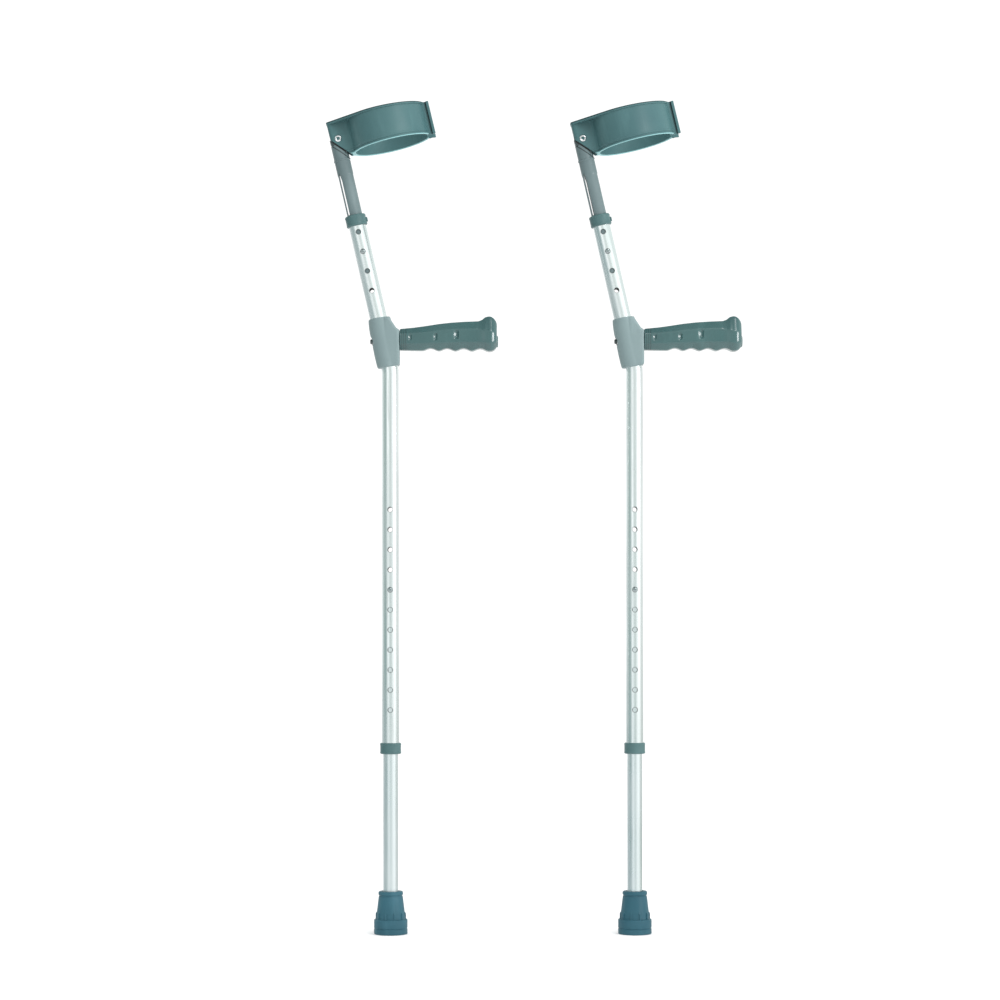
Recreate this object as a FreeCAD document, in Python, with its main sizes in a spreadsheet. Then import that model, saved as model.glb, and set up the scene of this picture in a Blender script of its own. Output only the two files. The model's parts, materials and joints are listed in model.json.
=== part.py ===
import FreeCAD, Part
import math
import os

import Sketcher  # noqa: F401  (registers the sketch and body object types)

V = FreeCAD.Vector
X_AXIS = V(1, 0, 0)
Y_AXIS = V(0, 1, 0)
Z_AXIS = V(0, 0, 1)

# A pair of forearm crutches, standing upright side by side, handles towards +X.
# Each has a bent main tube, a leg tube that slides in its lower end, a moulded
# upright that slides in its upper end and carries a hinged ring cuff, and a grip
# bolted to a housing at the bend. Z is up, and the floor is at Z = 0.

doc = FreeCAD.newDocument("ForearmCrutches")
sheet = doc.addObject("Spreadsheet::Sheet", "Sizes")

SIZES = {
    # the pair
    "pair_spacing": 310.0,
    "rear_reach": 80.4,
    "front_reach": 137.4,
    # main tube, bent backwards under the handle
    "main_radius": 11.0,
    "main_bore": 9.8,
    "main_foot": 231.2,
    "main_rise": 198.3,
    "bend_height": 716.4,
    "bend_radius": 50.0,
    "lean": 12.85,
    # snap button holes
    "pitch": 25.4,
    "button_hole": 3.5,
    "leg_hole_top": 538.6,
    "leg_holes": 11,
    "leg_button_height": 437.0,
    "arm_hole_top": 178.4,
    "arm_holes": 4,
    "arm_button_rise": 153.0,
    # leg tube
    "slim_radius": 9.5,
    "leg_bore": 8.3,
    "leg_foot": 10.0,
    "leg_top": 453.0,
    # rubber ferrule
    "ferrule_height": 54.2,
    "foot_radius": 21.4,
    "foot_edge": 1.0,
    "foot_rim": 18.8,
    "skirt_radius": 18.6,
    "skirt_rise": 2.4,
    "mouth_radius": 15.4,
    "mouth_edge": 1.2,
    "socket_floor": 8.0,
    "washer_radius": 9.2,
    "tread_first": 6.0,
    "tread_step": 6.0,
    "tread_width": 2.0,
    "tread_depth": 1.6,
    # anti-rattle collars at both ends of the main tube
    "collar_radius": 13.4,
    "collar_height": 14.0,
    "collar_lip": 2.5,
    "collar_edge": 1.1,
    "lug_rise": 4.9,
    "lug_height": 5.6,
    "lug_width": 5.0,
    "lug_root": 11.4,
    "lug_reach": 14.8,
    # snap button springs
    "leaf_width": 6.0,
    "leaf_thick": 0.6,
    "leaf_out": 7.2,
    "leaf_length": 44.0,
    "leaf_tip": 5.0,
    "leaf_room": 2.0,
    "button_radius": 3.2,
    "button_dome": 1.76,
    "button_reach": 13.2,
    # moulded upright
    "shank_foot": 115.0,
    "shank_top": 253.0,
    "head_radius": 10.0,
    "head_past_rivet": 6.0,
    "spring_slot_width": 7.0,
    "spring_slot_half": 7.7,
    "slot_foot": 202.0,
    "slot_top": 251.0,
    "slot_outer": 8.3,
    "slot_inner": 6.4,
    "slot_taper": 8.0,
    "slot_tip": 0.6,
    "ridge_rise": 272.0,
    "ridge_height": 1.4,
    "ridge_radius": 10.5,
    # hinge of the cuff
    "rivet_rise": 299.5,
    "rivet_ahead": 1.5,
    "rivet_radius": 2.5,
    "rivet_play": 0.05,
    "rivet_head": 4.6,
    "rivet_head_height": 1.8,
    "rivet_head_edge": 0.6,
    "rivet_crown": 2.8,
    "rivet_cup": 1.6,
    "rivet_cup_lip": 1.4,
    "rivet_cup_floor": 0.9,
    "rivet_tail": 3.9,
    "rivet_tail_end": 3.2,
    "rivet_tail_height": 1.3,
    "rivet_washer": 5.2,
    "rivet_washer_thick": 0.8,
    "tongue_half": 7.4,
    "tongue_radius": 7.6,
    "seam_drop": 7.0,
    "seam_gap": 0.5,
    "seam_slope": 47.0,
    "seam_back": 30.0,
    "seam_front": 60.0,
    "seam_above": 40.0,
    "seam_below": 12.0,
    "seam_relief": 8.8,
    "seam_relief_depth": 6.0,
    # cuff
    "cuff_lean": 13.5,
    "ring_radius": 50.0,
    "ring_wall": 2.6,
    "ring_ahead": 65.0,
    "band_low": 22.5,
    "band_high": 20.5,
    "rim_bead": 1.0,
    "rim_height": 2.6,
    "flange_ahead": 34.9,
    "flange_half": 39.9,
    "slit_half": 12.5,
    "slit_back": 90.0,
    "slit_past": 5.0,
    "lip_root": 110.5,
    "lip_front": 121.4,
    "lip_low": 23.3,
    "lip_high": 19.0,
    "bracket_lap": 2.0,
    "bracket_corner": 6.2,
    "bracket_flare": 7.0,
    "pocket_half": 10.3,
    "pocket_bore": 7.7,
    "pocket_back": 10.5,
    "pocket_inner_back": 8.4,
    "pocket_inner_front": 13.5,
    "pocket_roof": 2.4,
    "pocket_below": 10.0,
    "heel_rise": 4.6,
    "heel_lap": 0.6,
    "heel_past": 5.0,
    # handle housing
    "handle_height": 752.0,
    "housing_radius": 13.8,
    "housing_back": 1.4,
    "housing_foot": 4.2,
    "housing_top": 66.6,
    "block_back": 6.0,
    "block_front": 11.7,
    "block_back_low": 720.0,
    "block_low": 723.2,
    "block_high": 766.2,
    "block_half": 12.6,
    "block_edge": 3.5,
    "brow_ahead": 7.8,
    "brow_high": 768.8,
    "crown_back": 1.8,
    "crown_high": 783.8,
    # handle core and its bolt
    "core_radius": 8.0,
    "core_end": 118.0,
    "bolt_radius": 3.0,
    "bolt_hole": 3.3,
    "bolt_end": 46.0,
    "bolt_point": 1.0,
    "bolt_thread_past": 6.0,
    "bolt_head": 5.2,
    "bolt_head_height": 2.6,
    "bolt_head_edge": 1.04,
    "bolt_crown": 3.6,
    "bolt_socket": 1.9,
    "bolt_socket_depth": 1.6,
    "bolt_seat": 20.8,
    "bolt_seat_play": 0.4,
    "bolt_seat_reach": 10.0,
    "bolt_washer": 6.2,
    "bolt_washer_thick": 1.0,
    # grip
    "grip_bore": 8.0,
    "grip_flat": 0.55,
    "grip_low_shoulder": 0.28,
    "grip_high_shoulder": 0.72,
    "grip_root_ahead": 12.1,
    "grip_root_low": 740.2,
    "grip_root_high": 766.8,
    "grip_root_half": 12.8,
    "grip_palm_ahead": 45.0,
    "grip_palm_low": 739.4,
    "grip_palm_high": 771.4,
    "grip_palm_half": 14.0,
    "grip_middle_ahead": 78.0,
    "grip_middle_low": 738.8,
    "grip_middle_high": 775.8,
    "grip_middle_half": 15.5,
    "grip_finger_ahead": 112.0,
    "grip_finger_low": 738.8,
    "grip_finger_high": 776.9,
    "grip_finger_half": 16.5,
    "grip_knob_ahead": 126.0,
    "grip_knob_low": 738.6,
    "grip_knob_high": 783.0,
    "grip_knob_half": 18.5,
    "grip_end_ahead": 135.6,
    "grip_end_low": 742.4,
    "grip_end_high": 778.4,
    "grip_end_half": 14.5,
    "finger_pitch": 20.9,
    "finger_first": 51.4,
    "finger_grooves": 4,
    "finger_depth": 2.0,
    "finger_radius": 9.0,
    # end plug of the grip
    "plug_radius": 7.4,
    "plug_edge": 1.2,
    "plug_rim": 0.6,
    "plug_proud": 1.4,
    "plug_flange": 2.0,
    "plug_seat_reach": 10.0,
    "plug_depth": 15.0,
    "plug_stem": 5.0,
}

for row, (alias, number) in enumerate(SIZES.items(), start=1):
    sheet.set(f"A{row}", alias)
    sheet.set(f"B{row}", str(number))
    sheet.setAlias(f"B{row}", alias)
doc.recompute()

OUTPUTS = []


def size(alias):
    """A driving dimension, as a number."""
    return float(sheet.get(alias))


def bind(thing, prop, formula):
    """Bind a property to the sheet. In a formula, $name stands for a cell."""
    thing.setExpression(prop, formula.replace("$", "Sizes."))


def value(formula):
    """What a formula of the sheet's cells comes to."""
    return float(sheet.evalExpression(formula.replace("$", "")))


# ---- frames ------------------------------------------------------------------

LEAN = size("lean")
ARM_DIRECTION = V(-math.sin(math.radians(LEAN)), 0, math.cos(math.radians(LEAN)))


def crutch_frame(side):
    """Origin on the floor under the leg of one crutch."""
    middle = (size("front_reach") - size("rear_reach")) / 2
    half = size("pair_spacing") / 2
    return FreeCAD.Placement(V(side * half - middle, 0, 0), FreeCAD.Rotation())


def arm_frame(side):
    """Origin at the bend, Z along the upper tube, which leans back."""
    base = crutch_frame(side).Base + V(0, 0, size("bend_height"))
    return FreeCAD.Placement(base, FreeCAD.Rotation(Y_AXIS, -LEAN))


def cuff_frame(side):
    """Origin on the rivet, Z along the cuff's own axis."""
    rivet = arm_frame(side).multVec(V(size("rivet_ahead"), 0, size("rivet_rise")))
    return FreeCAD.Placement(rivet, FreeCAD.Rotation(Y_AXIS, -size("cuff_lean")))


# ---- helpers for bodies ------------------------------------------------------

def new_body(label):
    """An empty body, listed as a sub-part."""
    body = doc.addObject("PartDesign::Body", label)
    body.Label = label
    return body


def sketch_on(body, name, role, lift="0", turn=None, shift=None):
    """A sketch on an origin plane, lifted along its normal by a formula."""
    sketch = body.newObject("Sketcher::SketchObject", name)
    plane = next(f for f in body.Origin.OriginFeatures if f.Role == role)
    sketch.AttachmentSupport = [(plane, "")]
    sketch.MapMode = "FlatFace"
    if turn is not None:
        sketch.AttachmentOffset = FreeCAD.Placement(shift, turn)
    elif lift != "0":
        bind(sketch, "AttachmentOffset.Base.z", lift)
    return sketch


def pin_point(sketch, curve, end, across, up):
    """Hold a point at (across, up), two formulas, from the sketch's origin."""
    for kind, formula in (("DistanceX", across), ("DistanceY", up)):
        number = value(formula)
        index = sketch.addConstraint(
            Sketcher.Constraint(kind, -1, 1, curve, end, number)
        )
        if "$" in formula:
            bind(sketch, f"Constraints[{index}]", formula)


def polygon(sketch, corners):
    """A closed outline of straight lines through corners given as formulas."""
    places = [V(value(across), value(up), 0) for across, up in corners]
    first = len(sketch.Geometry)
    count = len(places)
    for i in range(count):
        sketch.addGeometry(Part.LineSegment(places[i], places[(i + 1) % count]))
    for i in range(count):
        after = first + (i + 1) % count
        sketch.addConstraint(Sketcher.Constraint("Coincident", first + i, 2, after, 1))
    for i, (across, up) in enumerate(corners):
        pin_point(sketch, first + i, 1, across, up)


def circle(sketch, radius, across="0", up="0"):
    """A circle whose radius and centre are formulas."""
    centre = V(value(across), value(up), 0)
    curve = sketch.addGeometry(Part.Circle(centre, Z_AXIS, value(radius)))
    index = sketch.addConstraint(
        Sketcher.Constraint("Radius", curve, value(radius))
    )
    bind(sketch, f"Constraints[{index}]", radius)
    pin_point(sketch, curve, 3, across, up)


def feature(body, kind, sketch, name, **settings):
    """Add a sketch-based feature. Text settings are formulas."""
    made = body.newObject(f"PartDesign::{kind}", name)
    made.Profile = sketch
    for prop, setting in settings.items():
        if isinstance(setting, str) and prop in ("Length", "Length2", "Angle"):
            bind(made, prop, setting)
        else:
            setattr(made, prop, setting)
    return made


def through(body, sketch, name):
    """Cut a sketch right through the body, both ways."""
    return feature(body, "Pocket", sketch, name, Type="ThroughAll", Midplane=True)


def revolve(body, name, corners):
    """A body of revolution about Z from an outline of (radius, height)."""
    sketch = sketch_on(body, f"{name}_outline", "XZ_Plane")
    polygon(sketch, corners)
    turned = body.newObject("PartDesign::Revolution", name)
    turned.Profile = sketch
    turned.ReferenceAxis = (sketch, ["V_Axis"])
    turned.Angle = 360
    return turned


def pattern(body, original, sketch, axis, length, count):
    """Repeat a feature along a sketch axis."""
    row = body.newObject("PartDesign::LinearPattern", f"{original.Name}_row")
    row.Originals = [original]
    row.Direction = (sketch, [axis])
    row.Reversed = False
    bind(row, "Length", length)
    bind(row, "Occurrences", count)
    body.Tip = row
    return row


def keep(obj, label, placement):
    """Name a finished sub-part and put it in place."""
    obj.Label = label
    obj.Placement = placement
    OUTPUTS.append(obj)


def turned_y(placement, sign):
    """A frame whose Z points along -Y (sign -1) or +Y (sign +1)."""
    turn = FreeCAD.Rotation(X_AXIS, -90 * sign)
    return placement.multiply(FreeCAD.Placement(V(), turn))


def arc_point(sketch, curve, height):
    """Hold the height of an arc's centre, whose ends are already held."""
    index = sketch.addConstraint(
        Sketcher.Constraint("DistanceY", -1, 1, curve, 3, value(height))
    )
    bind(sketch, f"Constraints[{index}]", height)


def edge_names(shape, wanted):
    """Names of the edges for which wanted(edge) is true."""
    return [f"Edge{i}" for i, e in enumerate(shape.Edges, start=1) if wanted(e)]


def fillet(body, base, name, radius, wanted):
    """Round the edges for which wanted(edge) is true."""
    doc.recompute()
    rounding = body.newObject("PartDesign::Fillet", name)
    rounding.Base = (base, edge_names(base.Shape, wanted))
    bind(rounding, "Radius", radius)
    return rounding


# ---- leg: ferrule, steel disc, leg tube ---------------------------------------

def make_ferrule(name, frame):
    """Rubber tip: stepped foot with ring treads, tapering skirt, blind socket."""
    body = new_body(f"{name}_ferrule")
    outline = [("0", "0")]
    for ring in range(2):
        inner = f"$tread_first + {ring} * $tread_step"
        outer = f"{inner} + $tread_width"
        outline += [(inner, "0"), (inner, "$tread_depth")]
        outline += [(outer, "$tread_depth"), (outer, "0")]
    outline += [
        ("$foot_radius - $foot_edge", "0"),
        ("$foot_radius", "$foot_edge"),
        ("$foot_radius", "$foot_rim"),
        ("$skirt_radius", "$foot_rim + $skirt_rise"),
        ("$mouth_radius", "$ferrule_height - $mouth_edge"),
        ("$mouth_radius - $mouth_edge", "$ferrule_height"),
        ("$slim_radius", "$ferrule_height"),
        ("$slim_radius", "$socket_floor"),
        ("0", "$socket_floor"),
    ]
    revolve(body, f"{name}_tip", outline)
    keep(body, f"{name}_ferrule", frame)


def make_ferrule_disc(name, frame):
    """Steel disc on the socket's floor, which the tube's end presses on."""
    disc = doc.addObject("Part::Cylinder", f"{name}_ferrule_disc")
    bind(disc, "Radius", "$washer_radius")
    bind(disc, "Height", "$leg_foot - $socket_floor")
    lift = FreeCAD.Placement(V(0, 0, size("socket_floor")), FreeCAD.Rotation())
    keep(disc, f"{name}_ferrule_disc", frame.multiply(lift))


def make_leg_tube(name, frame):
    """Slim tube with one pair of button holes near its upper end."""
    body = new_body(f"{name}_leg_tube")
    ring = sketch_on(body, f"{name}_leg_ring", "XY_Plane", "$leg_foot")
    circle(ring, "$slim_radius")
    circle(ring, "$leg_bore")
    feature(body, "Pad", ring, f"{name}_leg_wall", Length="$leg_top - $leg_foot")
    hole = sketch_on(body, f"{name}_leg_hole", "XZ_Plane")
    circle(hole, "$button_hole", "0", "$leg_button_height")
    through(body, hole, f"{name}_leg_drilling")
    keep(body, f"{name}_leg_tube", frame)


# ---- snap buttons and their springs -------------------------------------------

def make_clip_spring(label, frame, way):
    """Leaf bent to a U, its bow below (way -1) or above (way 1) the buttons."""
    body = new_body(label)
    sketch = sketch_on(body, f"{label}_profile", "YZ_Plane")
    outer = size("leaf_out")
    inner = outer - size("leaf_thick")
    tip = -way * size("leaf_tip")
    bow = way * (size("leaf_length") - outer)
    up = V(0, way, 0)

    def half_turn(radius):
        side = V(way * radius, 0, 0)
        centre = V(0, bow, 0)
        return Part.Arc(centre + side, centre + up * radius, centre - side)

    corners = {
        "outer_left": ("-$leaf_out", -outer),
        "outer_right": ("$leaf_out", outer),
        "inner_left": ("$leaf_thick - $leaf_out", -inner),
        "inner_right": ("$leaf_out - $leaf_thick", inner),
    }
    tips = {key: V(x, tip, 0) for key, (_, x) in corners.items()}
    ends = {key: V(x, bow, 0) for key, (_, x) in corners.items()}
    line = Part.LineSegment
    geometry = [
        line(ends["outer_left"], tips["outer_left"]),
        line(tips["outer_left"], tips["inner_left"]),
        line(tips["inner_left"], ends["inner_left"]),
        half_turn(inner),
        line(ends["inner_right"], tips["inner_right"]),
        line(tips["inner_right"], tips["outer_right"]),
        line(tips["outer_right"], ends["outer_right"]),
        half_turn(outer),
    ]
    for curve in geometry:
        sketch.addGeometry(curve)
    join_touching(sketch)
    bow_height = f"{way} * ($leaf_length - $leaf_out)"
    for curve, key in ((0, "outer_left"), (4, "inner_right")):
        pin_point(sketch, curve, 1, corners[key][0], bow_height)
        pin_point(sketch, curve, 2, corners[key][0], str(tip))
    for curve, key in ((2, "inner_left"), (6, "outer_right")):
        pin_point(sketch, curve, 1, corners[key][0], str(tip))
        pin_point(sketch, curve, 2, corners[key][0], bow_height)
    for arc in (3, 7):
        arc_point(sketch, arc, bow_height)
    feature(body, "Pad", sketch, f"{label}_leaf", Length="$leaf_width", Midplane=True)
    keep(body, label, frame)


def join_touching(sketch):
    """Join every pair of curve ends that lie on one point."""
    ends = []
    for i, curve in enumerate(sketch.Geometry):
        ends += [(i, 1, curve.StartPoint), (i, 2, curve.EndPoint)]
    for a in range(len(ends)):
        for b in range(a + 1, len(ends)):
            if ends[a][0] != ends[b][0] and ends[a][2].isEqual(ends[b][2], 1e-6):
                sketch.addConstraint(
                    Sketcher.Constraint("Coincident", *ends[a][:2], *ends[b][:2])
                )


def make_button(label, frame):
    """Round snap button, standing along Z from the leaf to beyond the tube."""
    body = new_body(label)
    disc = sketch_on(body, f"{label}_disc", "XY_Plane", "$leaf_out")
    circle(disc, "$button_radius")
    pad = feature(
        body, "Pad", disc, f"{label}_stem", Length="$button_reach - $leaf_out"
    )
    top = size("button_reach")
    fillet(
        body, pad, f"{label}_dome", "$button_dome",
        lambda e: e.BoundBox.ZMin > top - 1e-3,
    )
    keep(body, label, frame)


def make_snap_set(prefix, frame, way):
    """A clip spring with a button at the front and one at the back."""
    make_clip_spring(f"{prefix}_clip_spring", frame, way)
    make_button(f"{prefix}_button_front", turned_y(frame, -1))
    make_button(f"{prefix}_button_back", turned_y(frame, 1))


# ---- main tube and its collars ------------------------------------------------

def tilted_plane(body, name, rise="0"):
    """A sketch square to the upper tube, at a height along it."""
    turn = FreeCAD.Rotation(Y_AXIS, -LEAN)
    shift = V(0, 0, size("bend_height")) + ARM_DIRECTION * value(rise)
    return sketch_on(body, name, "XY_Plane", turn=turn, shift=shift)


def make_main_tube(name, frame):
    """Bent tube, drilled for the leg buttons, arm buttons and handle bolt."""
    body = new_body(f"{name}_main_tube")
    ring = sketch_on(body, f"{name}_main_ring", "XY_Plane", "$main_foot")
    circle(ring, "$main_radius")
    circle(ring, "$main_bore")

    path = sketch_on(body, f"{name}_main_path", "XZ_Plane")
    start = "$bend_height - $bend_radius * tan($lean / 2 * 1deg)"
    turn_across = "$bend_radius * (cos($lean * 1deg) - 1)"
    turn_up = f"{start} + $bend_radius * sin($lean * 1deg)"
    end_across = "-$main_rise * sin($lean * 1deg)"
    end_up = "$bend_height + $main_rise * cos($lean * 1deg)"
    foot = V(0, size("main_foot"), 0)
    knee = V(0, value(start), 0)
    turned = V(value(turn_across), value(turn_up), 0)
    half = math.radians(LEAN / 2)
    radius = size("bend_radius")
    middle = knee + V(radius * (math.cos(half) - 1), radius * math.sin(half), 0)
    top = V(value(end_across), value(end_up), 0)
    path.addGeometry(Part.LineSegment(foot, knee))
    path.addGeometry(Part.Arc(knee, middle, turned))
    path.addGeometry(Part.LineSegment(turned, top))
    join_touching(path)
    pin_point(path, 0, 1, "0", "$main_foot")
    pin_point(path, 0, 2, "0", start)
    pin_point(path, 2, 1, turn_across, turn_up)
    pin_point(path, 2, 2, end_across, end_up)
    arc_point(path, 1, start)

    pipe = body.newObject("PartDesign::AdditivePipe", f"{name}_main_wall")
    pipe.Profile = ring
    pipe.Spine = (path, ["Edge1", "Edge2", "Edge3"])

    low = sketch_on(body, f"{name}_leg_hole_low", "XZ_Plane")
    circle(low, "$button_hole", "0", "$leg_hole_top - ($leg_holes - 1) * $pitch")
    drilled = through(body, low, f"{name}_leg_drill")
    doc.recompute()
    pattern(body, drilled, low, "V_Axis", "($leg_holes - 1) * $pitch", "$leg_holes")

    upper = sketch_on(
        body, f"{name}_arm_hole_low", "XZ_Plane",
        turn=FreeCAD.Rotation(Z_AXIS, LEAN), shift=V(0, size("bend_height"), 0),
    )
    circle(upper, "$button_hole", "0", "$arm_hole_top - ($arm_holes - 1) * $pitch")
    drilled = through(body, upper, f"{name}_arm_drill")
    doc.recompute()
    pattern(body, drilled, upper, "V_Axis", "($arm_holes - 1) * $pitch", "$arm_holes")

    bolt = sketch_on(body, f"{name}_bolt_hole", "YZ_Plane")
    circle(bolt, "$bolt_hole", "0", "$handle_height")
    through(body, bolt, f"{name}_bolt_drill")
    keep(body, f"{name}_main_tube", frame)


def make_collar(label, frame):
    """Moulded end collar: its lip, at Z = 0, guides the tube that slides in it."""
    body = new_body(label)
    ring = revolve(body, f"{label}_ring", [
        ("$main_bore", "0"),
        ("$collar_radius - $collar_edge", "0"),
        ("$collar_radius", "$collar_edge"),
        ("$collar_radius", "$collar_height - $collar_edge"),
        ("$collar_radius - $collar_edge", "$collar_height"),
        ("$main_radius", "$collar_height"),
        ("$main_radius", "$collar_lip"),
        ("$main_bore", "$collar_lip"),
    ])
    lug = sketch_on(body, f"{label}_lug_outline", "XY_Plane", "$lug_rise")
    polygon(lug, [
        ("$lug_root", "-$lug_width / 2"),
        ("$lug_reach", "-$lug_width / 2"),
        ("$lug_reach", "$lug_width / 2"),
        ("$lug_root", "$lug_width / 2"),
    ])
    doc.recompute()
    before = ring.Shape.Volume
    pad = feature(body, "Pad", lug, f"{label}_lug", Length="$lug_height")
    doc.recompute()
    assert pad.Shape.Volume > before
    keep(body, label, frame)


# ---- upright ------------------------------------------------------------------

def seam_point(drop, along, slope):
    """A point on the slanted seam, from the rivet: formulas for across and up."""
    across = f"{along} * cos({slope} * 1deg) - ({drop}) * sin({slope} * 1deg)"
    up = f"-({along}) * sin({slope} * 1deg) - ({drop}) * cos({slope} * 1deg)"
    return across, up


def seam_height(drop, across, slope):
    """Height of the slanted seam at a place across it, from the rivet."""
    return f"(-({across}) * tan({slope} * 1deg) - {drop} / cos({slope} * 1deg))"


def make_upright(name, frame):
    """Moulded upright: round shank with a sprung tongue, head and hinge tongue."""
    label = f"{name}_upright"
    body = new_body(label)
    across = "$rivet_ahead"
    slope = "($seam_slope - $cuff_lean + $lean)"

    shank = sketch_on(body, f"{label}_shank_disc", "XY_Plane", "$shank_foot")
    circle(shank, "$slim_radius")
    feature(body, "Pad", shank, f"{label}_shank", Length="$shank_top - $shank_foot")
    head = sketch_on(body, f"{label}_head_disc", "XY_Plane", "$shank_top")
    circle(head, "$head_radius")
    feature(
        body, "Pad", head, f"{label}_head",
        Length="$rivet_rise + $head_past_rivet - $shank_top",
    )
    ridge = sketch_on(body, f"{label}_ridge_disc", "XY_Plane", "$ridge_rise")
    circle(ridge, "$ridge_radius")
    feature(body, "Pad", ridge, f"{label}_ridge", Length="$ridge_height")

    # the shoulder slants down to the front, a little under the cuff's cheeks
    drop = "($seam_drop + $seam_gap)"
    back = seam_point(drop, "(-$seam_back)", slope)
    front = seam_point(drop, "$seam_front", slope)
    slant = sketch_on(body, f"{label}_shoulder", "XZ_Plane")
    polygon(slant, [
        (f"{across} + {back[0]}", f"$rivet_rise + {back[1]}"),
        (f"{across} + {front[0]}", f"$rivet_rise + {front[1]}"),
        (f"{across} + {front[0]}", "$rivet_rise + $seam_above"),
        (f"{across} + {back[0]}", "$rivet_rise + $seam_above"),
    ])
    through(body, slant, f"{label}_shoulder_cut")

    # hinge tongue between the cheeks: a disc round the rivet on a flat neck
    neck = sketch_on(body, f"{label}_neck_outline", "XZ_Plane")
    heel = seam_height(drop, "-$tongue_radius", slope)
    toe = seam_height(drop, "$tongue_radius", slope)
    polygon(neck, [
        (f"{across} - $tongue_radius", f"$rivet_rise + {heel}"),
        (f"{across} + $tongue_radius", f"$rivet_rise + {toe}"),
        (f"{across} + $tongue_radius", "$rivet_rise"),
        (f"{across} - $tongue_radius", "$rivet_rise"),
    ])
    feature(
        body, "Pad", neck, f"{label}_neck", Length="2 * $tongue_half", Midplane=True
    )
    eye = sketch_on(body, f"{label}_eye_disc", "XZ_Plane")
    circle(eye, "$tongue_radius", across, "$rivet_rise")
    feature(body, "Pad", eye, f"{label}_eye", Length="2 * $tongue_half", Midplane=True)
    for way, side in ((-1, "near"), (1, "far")):
        relief = sketch_on(
            body, f"{label}_relief_{side}", "XZ_Plane", f"{-way} * $tongue_half"
        )
        circle(relief, "$seam_relief", across, "$rivet_rise")
        cut = feature(
            body, "Pocket", relief, f"{label}_relief_{side}_cut",
            Length="$seam_relief_depth",
        )
        cut.Reversed = way < 0
    rivet = sketch_on(body, f"{label}_rivet_disc", "XZ_Plane")
    circle(rivet, "$rivet_radius + $rivet_play", across, "$rivet_rise")
    through(body, rivet, f"{label}_rivet_hole")

    # long slot that frees a thin springy strip down the back of the shank
    slot = sketch_on(body, f"{label}_slot_outline", "XZ_Plane")
    polygon(slot, [
        ("-$slot_outer", "$slot_foot"),
        ("-$slot_inner", "$slot_foot"),
        ("-$slot_inner", "$slot_top - $slot_taper"),
        ("-$slot_outer + $slot_tip", "$slot_top"),
        ("-$slot_outer", "$slot_top"),
    ])
    through(body, slot, f"{label}_slot")

    # pocket for the clip spring, open at the foot, and the button holes
    pocket = sketch_on(body, f"{label}_pocket_outline", "XY_Plane", "$shank_foot")
    polygon(pocket, [
        ("-$spring_slot_width / 2", "-$spring_slot_half"),
        ("$spring_slot_width / 2", "-$spring_slot_half"),
        ("$spring_slot_width / 2", "$spring_slot_half"),
        ("-$spring_slot_width / 2", "$spring_slot_half"),
    ])
    cut = feature(
        body, "Pocket", pocket, f"{label}_pocket",
        Length="$arm_button_rise + $leaf_length + $leaf_room - $shank_foot",
    )
    cut.Reversed = True
    holes = sketch_on(body, f"{label}_button_disc", "XZ_Plane")
    circle(holes, "$button_hole", "0", "$arm_button_rise")
    through(body, holes, f"{label}_button_hole")
    keep(body, label, frame)


# ---- cuff and its rivet ---------------------------------------------------------

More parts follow.
